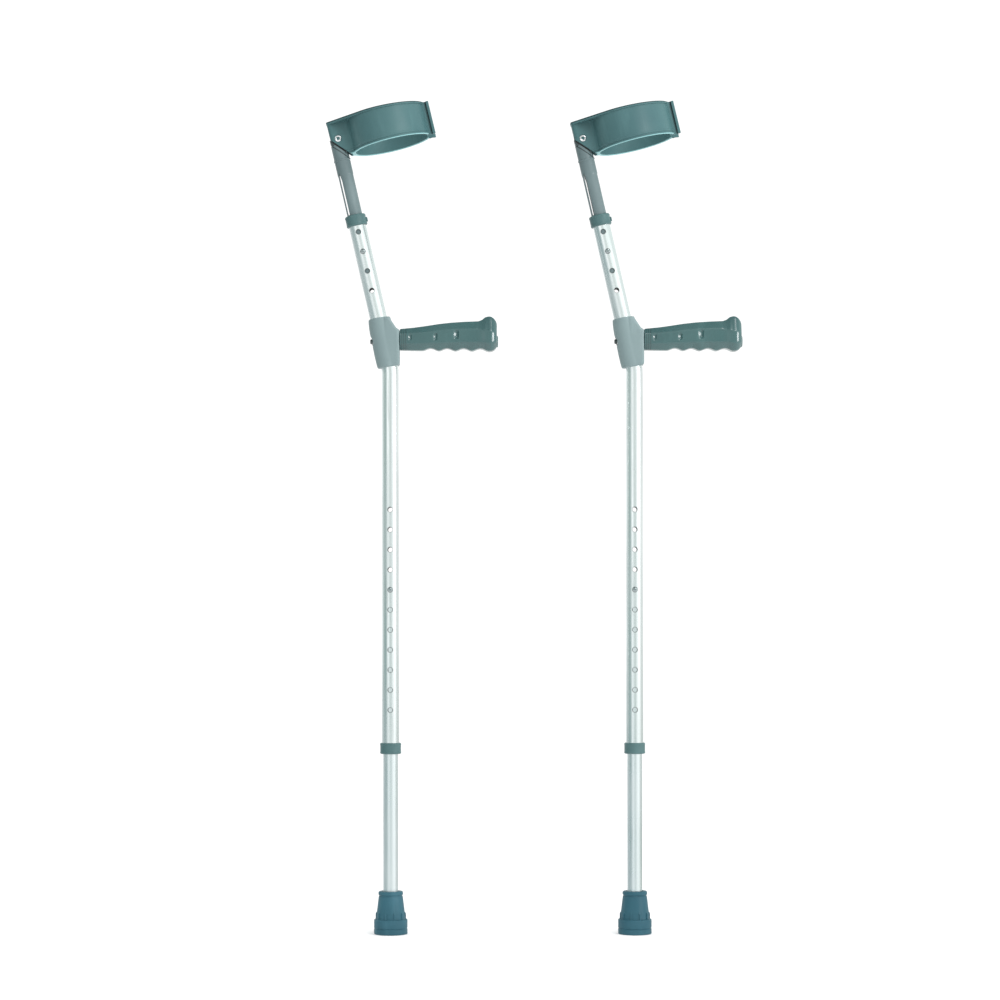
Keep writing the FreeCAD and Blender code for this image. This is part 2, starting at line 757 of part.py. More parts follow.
def make_cuff(name, frame):
    """Ring cuff split at the front, with a hinge bracket at the back."""
    label = f"{name}_cuff"
    body = new_body(label)

    def band(part, lift, length, outer):
        sketch = sketch_on(body, f"{label}_{part}_circles", "XY_Plane", lift)
        circle(sketch, outer, "$ring_ahead")
        circle(sketch, "$ring_radius - $ring_wall", "$ring_ahead")
        return feature(body, "Pad", sketch, f"{label}_{part}", Length=length)

    def block(part, corners, lift, length):
        sketch = sketch_on(body, f"{label}_{part}_outline", "XY_Plane", lift)
        polygon(sketch, corners)
        return feature(body, "Pad", sketch, f"{label}_{part}", Length=length)

    band("ring", "-$band_low", "$band_low + $band_high", "$ring_radius")
    lap = "$ring_ahead - $ring_radius + $bracket_lap"
    bracket = block("bracket", [
        ("-$pocket_back", "-$pocket_half"),
        (lap, "-$pocket_half"),
        (lap, "$pocket_half"),
        ("-$pocket_back", "$pocket_half"),
    ], "-$band_low", "$band_low + $band_high")
    back = size("pocket_back")
    corners = fillet(
        body, bracket, f"{label}_corners", "$bracket_corner",
        lambda e: abs(e.BoundBox.XMax + back) < 1e-3 and e.BoundBox.ZLength > 20,
    )
    root = size("ring_ahead") - size("ring_radius")
    flared = fillet(
        body, corners, f"{label}_flare", "$bracket_flare",
        lambda e: (
            0 < e.BoundBox.XMin - root < 4
            and e.BoundBox.XLength < 1e-3
            and e.BoundBox.ZLength > 20
            and abs(e.BoundBox.YMin) > 5
            and e.BoundBox.YLength < 1e-3
        ),
    )
    doc.recompute()
    assert flared.Shape.Volume > corners.Shape.Volume
    bead = "$ring_radius + $rim_bead"
    rim_low = "$band_high - $rim_height"
    band("low_bead", "-$band_low", "$rim_height", bead)
    band("high_bead", rim_low, "$rim_height", bead)

    # flat top flange, straight from the ring to the back of the bracket
    block("flange", [
        ("-$pocket_back", "-$pocket_half"),
        ("$flange_ahead", "-$flange_half"),
        ("$flange_ahead", "$flange_half"),
        ("-$pocket_back", "$pocket_half"),
    ], rim_low, "$rim_height")
    inside = sketch_on(body, f"{label}_inside_disc", "XY_Plane")
    circle(inside, "$ring_radius - $ring_wall", "$ring_ahead")
    through(body, inside, f"{label}_inside")

    # opening at the front, with a lip down each side of it
    slit = sketch_on(body, f"{label}_slit_outline", "XY_Plane")
    polygon(slit, [
        ("$slit_back", "-$slit_half"),
        ("$lip_front + $slit_past", "-$slit_half"),
        ("$lip_front + $slit_past", "$slit_half"),
        ("$slit_back", "$slit_half"),
    ])
    through(body, slit, f"{label}_slit")
    for way, side in ((-1, "near"), (1, "far")):
        inner = f"{way} * $slit_half"
        outer = f"{way} * ($slit_half + $ring_wall)"
        block(f"{side}_lip", [
            ("$lip_root", inner),
            ("$lip_front", inner),
            ("$lip_front", outer),
            ("$lip_root", outer),
        ], "-$lip_low", "$lip_low + $lip_high")

    # hollow of the bracket, its slanted lower edge and its open heel
    hollow = sketch_on(body, f"{label}_hollow_outline", "XZ_Plane")
    polygon(hollow, [
        ("-$pocket_inner_back", "-$band_low - $pocket_below"),
        ("$pocket_inner_front", "-$band_low - $pocket_below"),
        ("$pocket_inner_front", "$band_high - $pocket_roof"),
        ("-$pocket_inner_back", "$band_high - $pocket_roof"),
    ])
    feature(
        body, "Pocket", hollow, f"{label}_hollow", Length="2 * $pocket_bore",
        Midplane=True,
    )
    slope = "$seam_slope"
    upper_back = seam_point("$seam_drop", "(-$seam_back)", slope)
    lower_front = seam_point("$seam_drop", "$seam_front", slope)
    slant = sketch_on(body, f"{label}_slant_outline", "XZ_Plane")
    polygon(slant, [
        upper_back,
        lower_front,
        (lower_front[0], f"{lower_front[1]} - $seam_below"),
        (upper_back[0], f"{lower_front[1]} - $seam_below"),
    ])
    through(body, slant, f"{label}_slant")
    heel = sketch_on(body, f"{label}_heel_outline", "XZ_Plane")
    polygon(heel, [
        ("-$pocket_back - $heel_past", "-$band_low"),
        ("-$pocket_inner_back + $heel_lap", "-$band_low"),
        ("-$pocket_inner_back + $heel_lap", "$heel_rise"),
        ("-$pocket_back - $heel_past", "$heel_rise"),
    ])
    through(body, heel, f"{label}_heel")
    rivet = sketch_on(body, f"{label}_rivet_disc", "XZ_Plane")
    circle(rivet, "$rivet_radius")
    through(body, rivet, f"{label}_rivet_hole")
    keep(body, label, frame)


def make_rivet(name, frame):
    """Hinge rivet through both cheeks: hollow domed head, clinched tail."""
    label = f"{name}_cuff_rivet"
    body = new_body(label)
    tail = "-($pocket_half + $rivet_washer_thick)"
    revolve(body, f"{label}_turning", [
        ("0", "$pocket_half + $rivet_cup_floor"),
        ("$rivet_cup_lip", "$pocket_half + $rivet_cup_floor"),
        ("$rivet_cup", "$pocket_half + $rivet_head_height"),
        ("$rivet_crown", "$pocket_half + $rivet_head_height"),
        ("$rivet_head", "$pocket_half + $rivet_head_edge"),
        ("$rivet_head", "$pocket_half"),
        ("$rivet_radius", "$pocket_half"),
        ("$rivet_radius", tail),
        ("$rivet_tail", tail),
        ("$rivet_tail_end", f"{tail} - $rivet_tail_height"),
        ("0", f"{tail} - $rivet_tail_height"),
    ])
    keep(body, label, turned_y(frame, -1))


def make_rivet_washer(name, frame):
    """Plain washer under the rivet's tail."""
    label = f"{name}_rivet_washer"
    body = new_body(label)
    revolve(body, f"{label}_turning", [
        ("$rivet_radius", "-$pocket_half"),
        ("$rivet_washer", "-$pocket_half"),
        ("$rivet_washer", "-$pocket_half - $rivet_washer_thick"),
        ("$rivet_radius", "-$pocket_half - $rivet_washer_thick"),
    ])
    keep(body, label, turned_y(frame, -1))


# ---- handle ---------------------------------------------------------------------

def make_housing(name, frame):
    """Moulded housing: a sleeve on the bent tube with a block for the grip."""
    label = f"{name}_handle_housing"
    body = new_body(label)
    sleeve = tilted_plane(body, f"{label}_sleeve_disc", "$housing_foot")
    circle(sleeve, "$housing_radius", "-$housing_back")
    feature(
        body, "Pad", sleeve, f"{label}_sleeve", Length="$housing_top - $housing_foot"
    )
    block = sketch_on(body, f"{label}_block_outline", "XZ_Plane")
    polygon(block, [
        ("-$block_back", "$block_back_low"),
        ("$block_front", "$block_low"),
        ("$block_front", "$block_high"),
        ("$brow_ahead", "$brow_high"),
        ("-$crown_back", "$crown_high"),
        ("-$block_back", "$crown_high"),
    ])
    pad = feature(
        body, "Pad", block, f"{label}_block", Length="2 * $block_half", Midplane=True
    )
    front = size("block_front")
    fillet(
        body, pad, f"{label}_edges", "$block_edge",
        lambda e: (
            abs(e.BoundBox.XMin - front) < 1e-3
            and e.BoundBox.XLength < 1e-3
            and e.BoundBox.ZLength > 20
        ),
    )
    bore = tilted_plane(body, f"{label}_bore_disc")
    circle(bore, "$main_radius")
    through(body, bore, f"{label}_bore")
    socket = sketch_on(body, f"{label}_socket_disc", "YZ_Plane", "$block_front")
    circle(socket, "$core_radius", "0", "$handle_height")
    feature(body, "Pocket", socket, f"{label}_socket", Length="$block_front")
    bolt = sketch_on(body, f"{label}_bolt_disc", "YZ_Plane")
    circle(bolt, "$bolt_hole", "0", "$handle_height")
    through(body, bolt, f"{label}_bolt_hole")
    face = sketch_on(body, f"{label}_spot_disc", "YZ_Plane", "-$bolt_seat")
    circle(face, "$bolt_washer + $bolt_seat_play", "0", "$handle_height")
    feature(body, "Pocket", face, f"{label}_spot_face", Length="$bolt_seat_reach")
    keep(body, label, frame)


def make_core(name, frame):
    """Round bar inside the grip, hollowed at its end to sit on the tube."""
    label = f"{name}_handle_core"
    body = new_body(label)
    bar = sketch_on(body, f"{label}_disc", "YZ_Plane")
    circle(bar, "$core_radius", "0", "$handle_height")
    feature(body, "Pad", bar, f"{label}_bar", Length="$core_end")
    saddle = tilted_plane(body, f"{label}_saddle_disc")
    circle(saddle, "$main_radius")
    through(body, saddle, f"{label}_saddle")
    thread = sketch_on(body, f"{label}_thread_disc", "YZ_Plane")
    circle(thread, "$bolt_radius", "0", "$handle_height")
    cut = feature(
        body, "Pocket", thread, f"{label}_thread", Length="$bolt_end + $bolt_thread_past"
    )
    cut.Reversed = True
    keep(body, label, frame)


def handle_frame(frame):
    """On the grip's bolt, Z pointing along +X from the leg's own axis."""
    turn = FreeCAD.Rotation(Y_AXIS, 90)
    return frame.multiply(FreeCAD.Placement(V(0, 0, size("handle_height")), turn))


def make_bolt(name, frame):
    """Button-head bolt from behind the tube into the core, with its washer."""
    under = "-$bolt_seat - $bolt_washer_thick"
    top = f"{under} - $bolt_head_height"
    bolt = new_body(f"{name}_handle_bolt")
    revolve(bolt, f"{name}_handle_bolt_turning", [
        ("0", f"{top} + $bolt_socket_depth"),
        ("$bolt_socket", f"{top} + $bolt_socket_depth"),
        ("$bolt_socket", top),
        ("$bolt_crown", top),
        ("$bolt_head", f"{under} - $bolt_head_edge"),
        ("$bolt_head", under),
        ("$bolt_radius", under),
        ("$bolt_radius", "$bolt_end - $bolt_point"),
        ("$bolt_radius - $bolt_point", "$bolt_end"),
        ("0", "$bolt_end"),
    ])
    keep(bolt, f"{name}_handle_bolt", handle_frame(frame))
    washer = new_body(f"{name}_handle_washer")
    revolve(washer, f"{name}_handle_washer_turning", [
        ("$bolt_radius", "-$bolt_seat"),
        ("$bolt_washer", "-$bolt_seat"),
        ("$bolt_washer", under),
        ("$bolt_radius", under),
    ])
    keep(washer, f"{name}_handle_washer", handle_frame(frame))


# stations along the grip: ahead of the leg, underside, top, half depth
GRIP_STATIONS = ("root", "palm", "middle", "finger", "knob", "end")


def make_grip(name, frame):
    """Soft grip, deeper towards its knob, with finger grooves underneath."""
    label = f"{name}_grip"
    body = new_body(label)
    sections = []
    for station in GRIP_STATIONS:
        low, high = f"$grip_{station}_low", f"$grip_{station}_high"
        half = f"$grip_{station}_half"
        face = f"({high} - {low})"
        sketch = sketch_on(
            body, f"{label}_{station}", "YZ_Plane", f"$grip_{station}_ahead"
        )
        polygon(sketch, [
            (f"-{half} * $grip_flat", low),
            (f"{half} * $grip_flat", low),
            (half, f"{low} + {face} * $grip_low_shoulder"),
            (half, f"{low} + {face} * $grip_high_shoulder"),
            (f"{half} * $grip_flat", high),
            (f"-{half} * $grip_flat", high),
            (f"-{half}", f"{low} + {face} * $grip_high_shoulder"),
            (f"-{half}", f"{low} + {face} * $grip_low_shoulder"),
        ])
        sections.append(sketch)
    loft = body.newObject("PartDesign::AdditiveLoft", f"{label}_loft")
    loft.Profile = sections[0]
    loft.Sections = sections[1:]
    loft.Ruled = True
    groove = sketch_on(body, f"{label}_groove_disc", "XZ_Plane")
    circle(
        groove, "$finger_radius", "$finger_first",
        "$grip_middle_low + $finger_depth - $finger_radius",
    )
    doc.recompute()
    cut = through(body, groove, f"{label}_groove")
    doc.recompute()
    pattern(
        body, cut, groove, "H_Axis",
        "($finger_grooves - 1) * $finger_pitch", "$finger_grooves",
    )
    bore = sketch_on(body, f"{label}_bore_disc", "YZ_Plane")
    circle(bore, "$grip_bore", "0", "$handle_height")
    cut = feature(body, "Pocket", bore, f"{label}_bore", Length="$core_end")
    cut.Reversed = True
    eye = sketch_on(body, f"{label}_stem_disc", "YZ_Plane")
    circle(eye, "$plug_stem", "0", "$handle_height")
    through(body, eye, f"{label}_stem_hole")
    seat = sketch_on(
        body, f"{label}_plug_disc", "YZ_Plane", "$grip_end_ahead - $plug_flange"
    )
    circle(seat, "$plug_radius", "0", "$handle_height")
    cut = feature(
        body, "Pocket", seat, f"{label}_plug_seat", Length="$plug_seat_reach"
    )
    cut.Reversed = True
    keep(body, label, frame)


def make_plug(name, frame):
    """Plug that closes the end of the grip."""
    label = f"{name}_grip_plug"
    body = new_body(label)
    revolve(body, f"{label}_turning", [
        ("0", "$grip_end_ahead - $plug_depth"),
        ("$plug_stem", "$grip_end_ahead - $plug_depth"),
        ("$plug_stem", "$grip_end_ahead - $plug_flange"),
        ("$plug_radius", "$grip_end_ahead - $plug_flange"),
        ("$plug_radius", "$grip_end_ahead + $plug_rim"),
        ("$plug_radius - $plug_edge", "$grip_end_ahead + $plug_proud"),
        ("0", "$grip_end_ahead + $plug_proud"),
    ])
    keep(body, label, handle_frame(frame))


# ---- the pair -------------------------------------------------------------------

def make_crutch(name, side):
    """All the pieces of one crutch."""
    floor = crutch_frame(side)
    arm = arm_frame(side)
    cuff = cuff_frame(side)
    still = FreeCAD.Rotation()
    make_ferrule(name, floor)
    make_ferrule_disc(name, floor)
    make_leg_tube(name, floor)
    leg_buttons = FreeCAD.Placement(V(0, 0, size("leg_button_height")), still)
    make_snap_set(f"{name}_leg", floor.multiply(leg_buttons), -1)
    make_main_tube(name, floor)
    low_end = size("main_foot") - size("collar_lip")
    collar_seat = FreeCAD.Placement(V(0, 0, low_end), still)
    make_collar(f"{name}_leg_collar", floor.multiply(collar_seat))
    high_end = size("main_rise") + size("collar_lip")
    flipped = FreeCAD.Placement(V(0, 0, high_end), FreeCAD.Rotation(X_AXIS, 180))
    make_collar(f"{name}_arm_collar", arm.multiply(flipped))
    make_housing(name, floor)
    make_core(name, floor)
    make_bolt(name, floor)
    make_grip(name, floor)
    make_plug(name, floor)
    make_upright(name, arm)
    arm_buttons = FreeCAD.Placement(V(0, 0, size("arm_button_rise")), still)
    make_snap_set(f"{name}_arm", arm.multiply(arm_buttons), 1)
    make_cuff(name, cuff)
    make_rivet(name, cuff)
    make_rivet_washer(name, cuff)


def check_document():
    """Stop unless every feature computed and every sub-part is a sound solid."""
    doc.recompute()
    for thing in doc.Objects:
        bad = {"Invalid", "Error"} & set(thing.State)
        if bad:
            raise RuntimeError(f"{thing.Name} is {bad}")
    for piece in OUTPUTS:
        shape = piece.Shape
        if shape.isNull() or not shape.isValid() or len(shape.Solids) != 1:
            raise RuntimeError(f"{piece.Label} has no sound single solid")


def write_parts():
    """One STEP file for each sub-part, named by its label."""
    os.makedirs("parts", exist_ok=True)
    for piece in OUTPUTS:
        piece.Shape.exportStep(f"parts/{piece.Label}.step")


make_crutch("left", -1)
make_crutch("right", 1)
check_document()
write_parts()
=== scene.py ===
import json
import math

import bmesh
import bpy
from mathutils import Matrix, Vector


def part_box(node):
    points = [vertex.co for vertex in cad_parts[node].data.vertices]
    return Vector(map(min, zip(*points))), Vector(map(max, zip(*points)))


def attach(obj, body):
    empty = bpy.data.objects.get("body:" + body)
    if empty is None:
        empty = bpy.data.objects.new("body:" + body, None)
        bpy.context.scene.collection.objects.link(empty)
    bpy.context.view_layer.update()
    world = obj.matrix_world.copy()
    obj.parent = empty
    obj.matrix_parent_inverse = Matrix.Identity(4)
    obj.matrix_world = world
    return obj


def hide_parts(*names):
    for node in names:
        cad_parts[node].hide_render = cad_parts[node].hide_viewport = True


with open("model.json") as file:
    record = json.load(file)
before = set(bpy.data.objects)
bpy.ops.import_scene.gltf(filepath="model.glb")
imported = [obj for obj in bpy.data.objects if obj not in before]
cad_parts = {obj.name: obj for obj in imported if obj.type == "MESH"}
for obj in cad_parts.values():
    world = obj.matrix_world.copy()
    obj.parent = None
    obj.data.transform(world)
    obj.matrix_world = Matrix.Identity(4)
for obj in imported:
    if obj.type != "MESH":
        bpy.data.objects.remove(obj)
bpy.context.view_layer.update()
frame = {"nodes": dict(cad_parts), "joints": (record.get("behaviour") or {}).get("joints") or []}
JOINTS = {joint["name"]: joint for joint in frame["joints"]}
SIDES = ("left", "right")

# Pieces are drawn in millimetres, in the frame that suits them: "floor" stands on
# the floor under a crutch's leg, "arm" stands on the bend along the upper tube,
# "cuff" on the hinge rivet, "handle" on the grip's bolt with Z along the grip.
# "Ahead" is towards the grips, along X, and "up" is along Z.
X, Y, Z = Vector((1, 0, 0)), Vector((0, 1, 0)), Vector((0, 0, 1))
LAY = Matrix.Rotation(math.pi / 2, 4, "X")
MM = 0.001
ROUND = 96
SHARP = math.radians(32)
CUFF_LEAN = math.radians(13.5)
PITCH = 25.4
HOLE = 3.1
LEG_HOLE_TOP = 538.6
LEG_HOLES = 11
ARM_HOLE_TOP = 178.4
ARM_HOLES = 4
ARM_BUTTON_RISE = 153.0


# ---- frames ----

def centre(node):
    """Middle of a CAD node's box."""
    low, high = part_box(node)
    return (low + high) / 2


def frames_of(side):
    """The four frames of one crutch, as matrices in metres."""
    leg = centre(f"{side}_leg_tube")
    along = Vector(JOINTS[f"{side}_arm_slide"]["axis"]).normalized()
    button = centre(f"{side}_arm_button_front")
    rise = (leg.x - button.x) / -along.x
    bend = Vector((leg.x, 0, button.z - rise * along.z))
    lean = math.atan2(-along.x, along.z)
    rivet = Vector(JOINTS[f"{side}_cuff_tilt"]["pos_m"])
    bolt = Vector((leg.x, 0, centre(f"{side}_handle_bolt").z))
    return {
        "floor": Matrix.Translation((leg.x, 0, 0)),
        "arm": Matrix.Translation(bend) @ Matrix.Rotation(-lean, 4, "Y"),
        "cuff": Matrix.Translation(rivet) @ Matrix.Rotation(-CUFF_LEAN, 4, "Y"),
        "handle": Matrix.Translation(bolt) @ Matrix.Rotation(math.pi / 2, 4, "Y"),
    }


FRAMES = {side: frames_of(side) for side in SIDES}
BEND = FRAMES["left"]["arm"].translation.z / MM
LEAN = math.atan2(-FRAMES["left"]["arm"].col[2].x, FRAMES["left"]["arm"].col[2].z)
HANDLE = FRAMES["left"]["handle"].translation.z / MM
ARM_AXIS = Vector((-math.sin(LEAN), 0, math.cos(LEAN)))
# Rows of holes along the main tube, were it straight: the top one, and how many.
HOLE_ROWS = ((LEG_HOLE_TOP, LEG_HOLES), (BEND + ARM_HOLE_TOP, ARM_HOLES))


# ---- outlines ----

def arc(across, up, radius, start, end, steps):
    """Points of an arc about (across, up), from start to end in degrees."""
    turns = [math.radians(start + (end - start) * i / steps) for i in range(steps + 1)]
    return [
        (across + radius * math.cos(turn), up + radius * math.sin(turn))
        for turn in turns
    ]


def circle(radius, steps):
    """Points of a whole circle about the origin, the last one not repeated."""
    return arc(0, 0, radius, 0, 360 - 360 / steps, steps - 1)


def rounded(corners, steps=4):
    """Closed outline through corners (across, up, radius), each one rounded."""
    points = []
    count = len(corners)
    for i, (across, up, radius) in enumerate(corners):
        here = Vector((across, up))
        if radius == 0:
            points.append((across, up))
            continue
        before = (Vector(corners[i - 1][:2]) - here).normalized()
        after = (Vector(corners[(i + 1) % count][:2]) - here).normalized()
        half = before.angle(after) / 2
        middle = here + (before + after).normalized() * (radius / math.sin(half))
        first = here + before * (radius / math.tan(half)) - middle
        last = here + after * (radius / math.tan(half)) - middle
        for k in range(steps + 1):
            spoke = first.lerp(last, k / steps).normalized() * radius
            points.append(tuple(middle + spoke))
    return points


def area(outline):
    """Twice the signed area of a closed outline, positive counter-clockwise."""
    return sum(x * v - u * y for (x, y), (u, v) in zip(outline, outline[1:] + outline[:1]))


def outward(outline):
    """Unit normals of a closed counter-clockwise outline."""
    normals = []
    count = len(outline)
    for i in range(count):
        before = (Vector(outline[i]) - Vector(outline[i - 1])).normalized()
        after = (Vector(outline[(i + 1) % count]) - Vector(outline[i])).normalized()
        along = before + after
        normal = Vector((along.y, -along.x)).normalized()
        reach = max(0.4, normal.dot(Vector((after.y, -after.x))))
        normals.append(normal / reach)
    return normals


# ---- meshes ----

def solid(name, points, faces):
    """An object from points in millimetres, its faces turned outward."""
    mesh = bpy.data.meshes.new(name)
    mesh.from_pydata([Vector(p) for p in points], [], faces)
    work = bmesh.new()
    work.from_mesh(mesh)
    bmesh.ops.remove_doubles(work, verts=work.verts, dist=1e-4)
    bmesh.ops.recalc_face_normals(work, faces=work.faces)
    work.to_mesh(mesh)
    work.free()
    made = bpy.data.objects.new(name, mesh)
    bpy.context.scene.collection.objects.link(made)
    return made


def skin(name, rings, closed=False):
    """Quads between rings of points. Open rows are capped, a closed row isn't."""
    count = len(rings[0])
    points = [p for ring in rings for p in ring]
    faces = []
    rows = len(rings)
    for row in range(rows if closed else rows - 1):
        low = row * count
        high = (row + 1) % rows * count
        for i in range(count):
            after = (i + 1) % count
            faces.append((low + i, low + after, high + after, high + i))
    if not closed:
        faces.append(tuple(range(count))[::-1])
        faces.append(tuple(range((rows - 1) * count, rows * count)))
    return solid(name, points, faces)


def turned(name, profile, steps=ROUND):
    """A turned piece: a closed outline of (radius, height), spun about Z."""
    points = []
    rows = []
    for radius, height in profile:
        if radius < 1e-6:
            rows.append([len(points)] * steps)
            points.append((0, 0, height))
            continue
        rows.append(list(range(len(points), len(points) + steps)))
        points += [(across, up, height) for across, up in circle(radius, steps)]
    faces = []
    for k, low in enumerate(rows):
        high = rows[(k + 1) % len(rows)]
        if low[0] == low[1] and high[0] == high[1]:
            continue
        for i in range(steps):
            after = (i + 1) % steps
            corners = [low[i], low[after], high[after], high[i]]
            faces.append(tuple(dict.fromkeys(corners)))
    return solid(name, points, faces)


def stacked(name, outline, levels, weights=None):
    """A solid from one plan outline; each level is (height, offset, bead)."""
    weights = weights or [0.0] * len(outline)
    if area(outline) < 0:
        outline, weights = outline[::-1], weights[::-1]
    normals = outward(outline)
    rings = []
    for height, offset, bead in levels:
        ring = []
        for (across, up), normal, weight in zip(outline, normals, weights):
            move = normal * (offset + bead * weight)
            ring.append((across + move.x, up + move.y, height))
        rings.append(ring)
    return skin(name, rings)


def block(name, outline, low, high, edge=0.5, steps=3):
    """An upright prism from low to high with rounded top and bottom edges."""
    start = []
    for k in range(steps + 1):
        turn = math.pi / 2 * k / steps
        start.append((edge * (1 - math.cos(turn)), edge * (math.sin(turn) - 1)))
    levels = [(low + rise, offset, 0) for rise, offset in start]
    levels += [(high - rise, offset, 0) for rise, offset in reversed(start)]
    return stacked(name, outline, levels)


def across_block(name, outline, half, edge=0.0, middle=0.0):
    """A prism along Y from an outline of (ahead, up), half its depth each way."""
    if edge > 0:
        made = block(name, outline, -half, half, edge)
    else:
        made = stacked(name, outline, [(-half, 0, 0), (half, 0, 0)])
    made.data.transform(Matrix.Translation((0, middle, 0)) @ LAY)
    return made


def pipe(name, stations, outer, inner):
    """A hollow tube along stations (place, right, up), its section square to them."""
    rings = []
    for radius, order in ((outer, stations), (inner, stations[::-1])):
        for middle, right, up in order:
            rings.append([
                middle + right * across + up * away
                for across, away in circle(radius, ROUND)
            ])
    return skin(name, rings, closed=True)


def rod(name, radius, start, end, steps=40):
    """A plain round cutter between two places."""
    start, end = Vector(start), Vector(end)
    along = end - start
    made = stacked(name, circle(radius, steps), [(0, 0, 0), (along.length, 0, 0)])
    turn = along.to_track_quat("Z", "Y").to_matrix().to_4x4()
    made.data.transform(Matrix.Translation(start) @ turn)
    return made


def settle(piece):
    """Turn a piece's modifiers into its mesh."""
    bpy.context.view_layer.update()
    graph = bpy.context.evaluated_depsgraph_get()
    fresh = bpy.data.meshes.new_from_object(piece.evaluated_get(graph))
    old = piece.data
    piece.modifiers.clear()
    piece.data = fresh
    bpy.data.meshes.remove(old)
    return piece


def combine(piece, tool, operation):
    """Exact boolean of two pieces; the tool is used up."""
    step = piece.modifiers.new(operation, "BOOLEAN")
    step.operation = operation
    step.solver = "EXACT"
    step.object = tool
    settle(piece)
    mesh = tool.data
    bpy.data.objects.remove(tool)
    bpy.data.meshes.remove(mesh)
    return piece


def cut(piece, *tools):
    """Take tools away from a piece."""
    for tool in tools:
        combine(piece, tool, "DIFFERENCE")
    return piece


def fuse(piece, *tools):
    """Join tools to a piece as one skin."""
    for tool in tools:
        combine(piece, tool, "UNION")
    return piece


def gather(tools):
    """Several separate tools as one object."""
    first = tools[0]
    with bpy.context.temp_override(
        active_object=first, selected_editable_objects=tools
    ):
        bpy.ops.object.join()
    return first


def melt(piece, voxel, rounds):
    """Remesh a piece evenly and smooth it, so that its edges and joins are soft."""
    grid = piece.modifiers.new("grid", "REMESH")
    grid.mode = "VOXEL"
    grid.voxel_size = voxel
    soft = piece.modifiers.new("soft", "SMOOTH")
    soft.factor = 0.5
    soft.iterations = rounds
    return settle(piece)


def polish(piece, away_at):
    """True round shading: the walls' normals point away from the tube's axis."""
    mesh = piece.data
    mesh.polygons.foreach_set("use_smooth", [True] * len(mesh.polygons))
    mesh.set_sharp_from_angle(angle=SHARP)
    normals = [Vector()] * len(mesh.loops)
    for face in mesh.polygons:
        for k in face.loop_indices:
            radial = away_at(mesh.vertices[mesh.loops[k].vertex_index].co)
            toward = radial.dot(face.normal)
            if abs(toward) > 0.9:
                normals[k] = radial * math.copysign(1, toward)
            else:
                normals[k] = face.normal.copy()
    mesh.normals_split_custom_set(normals)


def store_painted_light(piece, amount_at, what="grime"):
    """Store how much painted shade or painted highlight each point gets, from 0 to 1."""
    note = piece.data.attributes.new(what, "FLOAT", "POINT")
    for point, entry in zip(piece.data.vertices, note.data):
        entry.value = amount_at(point.co)


def place(piece, home, body, nodes, material, crease=SHARP):
    """Put a copy of a drawn piece on each crutch, and retire the drawing."""
    drawn = piece.name
    mesh = piece.data
    mesh.transform(Matrix.Scale(MM, 4))
    if not mesh.has_custom_normals:
        mesh.polygons.foreach_set("use_smooth", [True] * len(mesh.polygons))
        mesh.set_sharp_from_angle(angle=crease)
    mesh.materials.clear()
    mesh.materials.append(material)
    for side in SIDES:
        twin = bpy.data.objects.new(f"{side}_{drawn}", mesh.copy())
        bpy.context.scene.collection.objects.link(twin)
        twin.matrix_world = FRAMES[side][home]
        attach(twin, body.format(side=side))
        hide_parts(*[f"{side}_{node}" for node in nodes])
    bpy.data.objects.remove(piece)


# ---- materials ----

def add(tree, kind, wires=None, **settings):
    """A shader node; wires gives its inputs, each a value or another output."""
    made = tree.nodes.new(kind)
    for key, setting in settings.items():
        setattr(made, key, setting)
    for key, wire in (wires or {}).items():
        if isinstance(wire, bpy.types.NodeSocket):
            tree.links.new(wire, made.inputs[key])
        else:
            made.inputs[key].default_value = wire
    return made


def new_material(name, **sockets):
    """A Principled material; sockets are its constant values."""
    made = bpy.data.materials.new(name)
    made.use_nodes = True
    tree = made.node_tree
    surface = tree.nodes["Principled BSDF"]
    for key, number in sockets.items():
        surface.inputs[key.replace("_", " ")].default_value = number
    return made, tree, surface


def scaled(tint, times, more=0.0):
    """A darker or lighter version of a colour."""
    return [min(1, part * times + more) for part in tint]


def stored(tree, attribute, output):
    """What a mesh stores for each of its points."""
    return add(tree, "ShaderNodeAttribute", attribute_name=attribute).outputs[output]


def cloud(tree, where, scale, detail, stretch=(1, 1, 1)):
    """Noise from 0 to 1: scale is in features a metre, and stretch is per axis."""
    shift = add(tree, "ShaderNodeObjectInfo").outputs["Random"]
    moved = add(tree, "ShaderNodeMapping", {
        "Vector": where, "Scale": stretch,
    }).outputs["Vector"]
    return add(tree, "ShaderNodeTexNoise", {
        "Vector": moved, "W": shift, "Scale": scale, "Detail": detail,
    }, noise_dimensions="4D").outputs[0]


def between(tree, value, low, high, start=0.35, end=0.65):
    """A value between start and end, mapped to low and high."""
    return add(tree, "ShaderNodeMapRange", {
        "Value": value, "From Min": start, "From Max": end,
        "To Min": low, "To Max": high,
    }).outputs["Result"]


def blended(tree, factor, first, second):
    """Colour between two colours or outputs."""
    made = add(tree, "ShaderNodeMix", data_type="RGBA")
    for key, wire in (("Factor", factor), ("A", first), ("B", second)):
        socket = next(
            s for s in made.inputs
            if s.name == key and s.type == ("VALUE" if key == "Factor" else "RGBA")
        )
        if isinstance(wire, bpy.types.NodeSocket):
            tree.links.new(wire, socket)
        else:
            socket.default_value = (*wire, 1) if key != "Factor" else wire
    return next(s for s in made.outputs if s.type == "RGBA")


def dented(tree, surface, height, depth, strength, under=None):
    """Bump from a height, its depth in mm, on top of any bump under it."""
    wires = {"Height": height, "Distance": depth * MM, "Strength": strength}
    if under is not None:
        wires["Normal"] = under
    normal = add(tree, "ShaderNodeBump", wires).outputs["Normal"]
    tree.links.new(normal, surface.inputs["Normal"])
    return normal


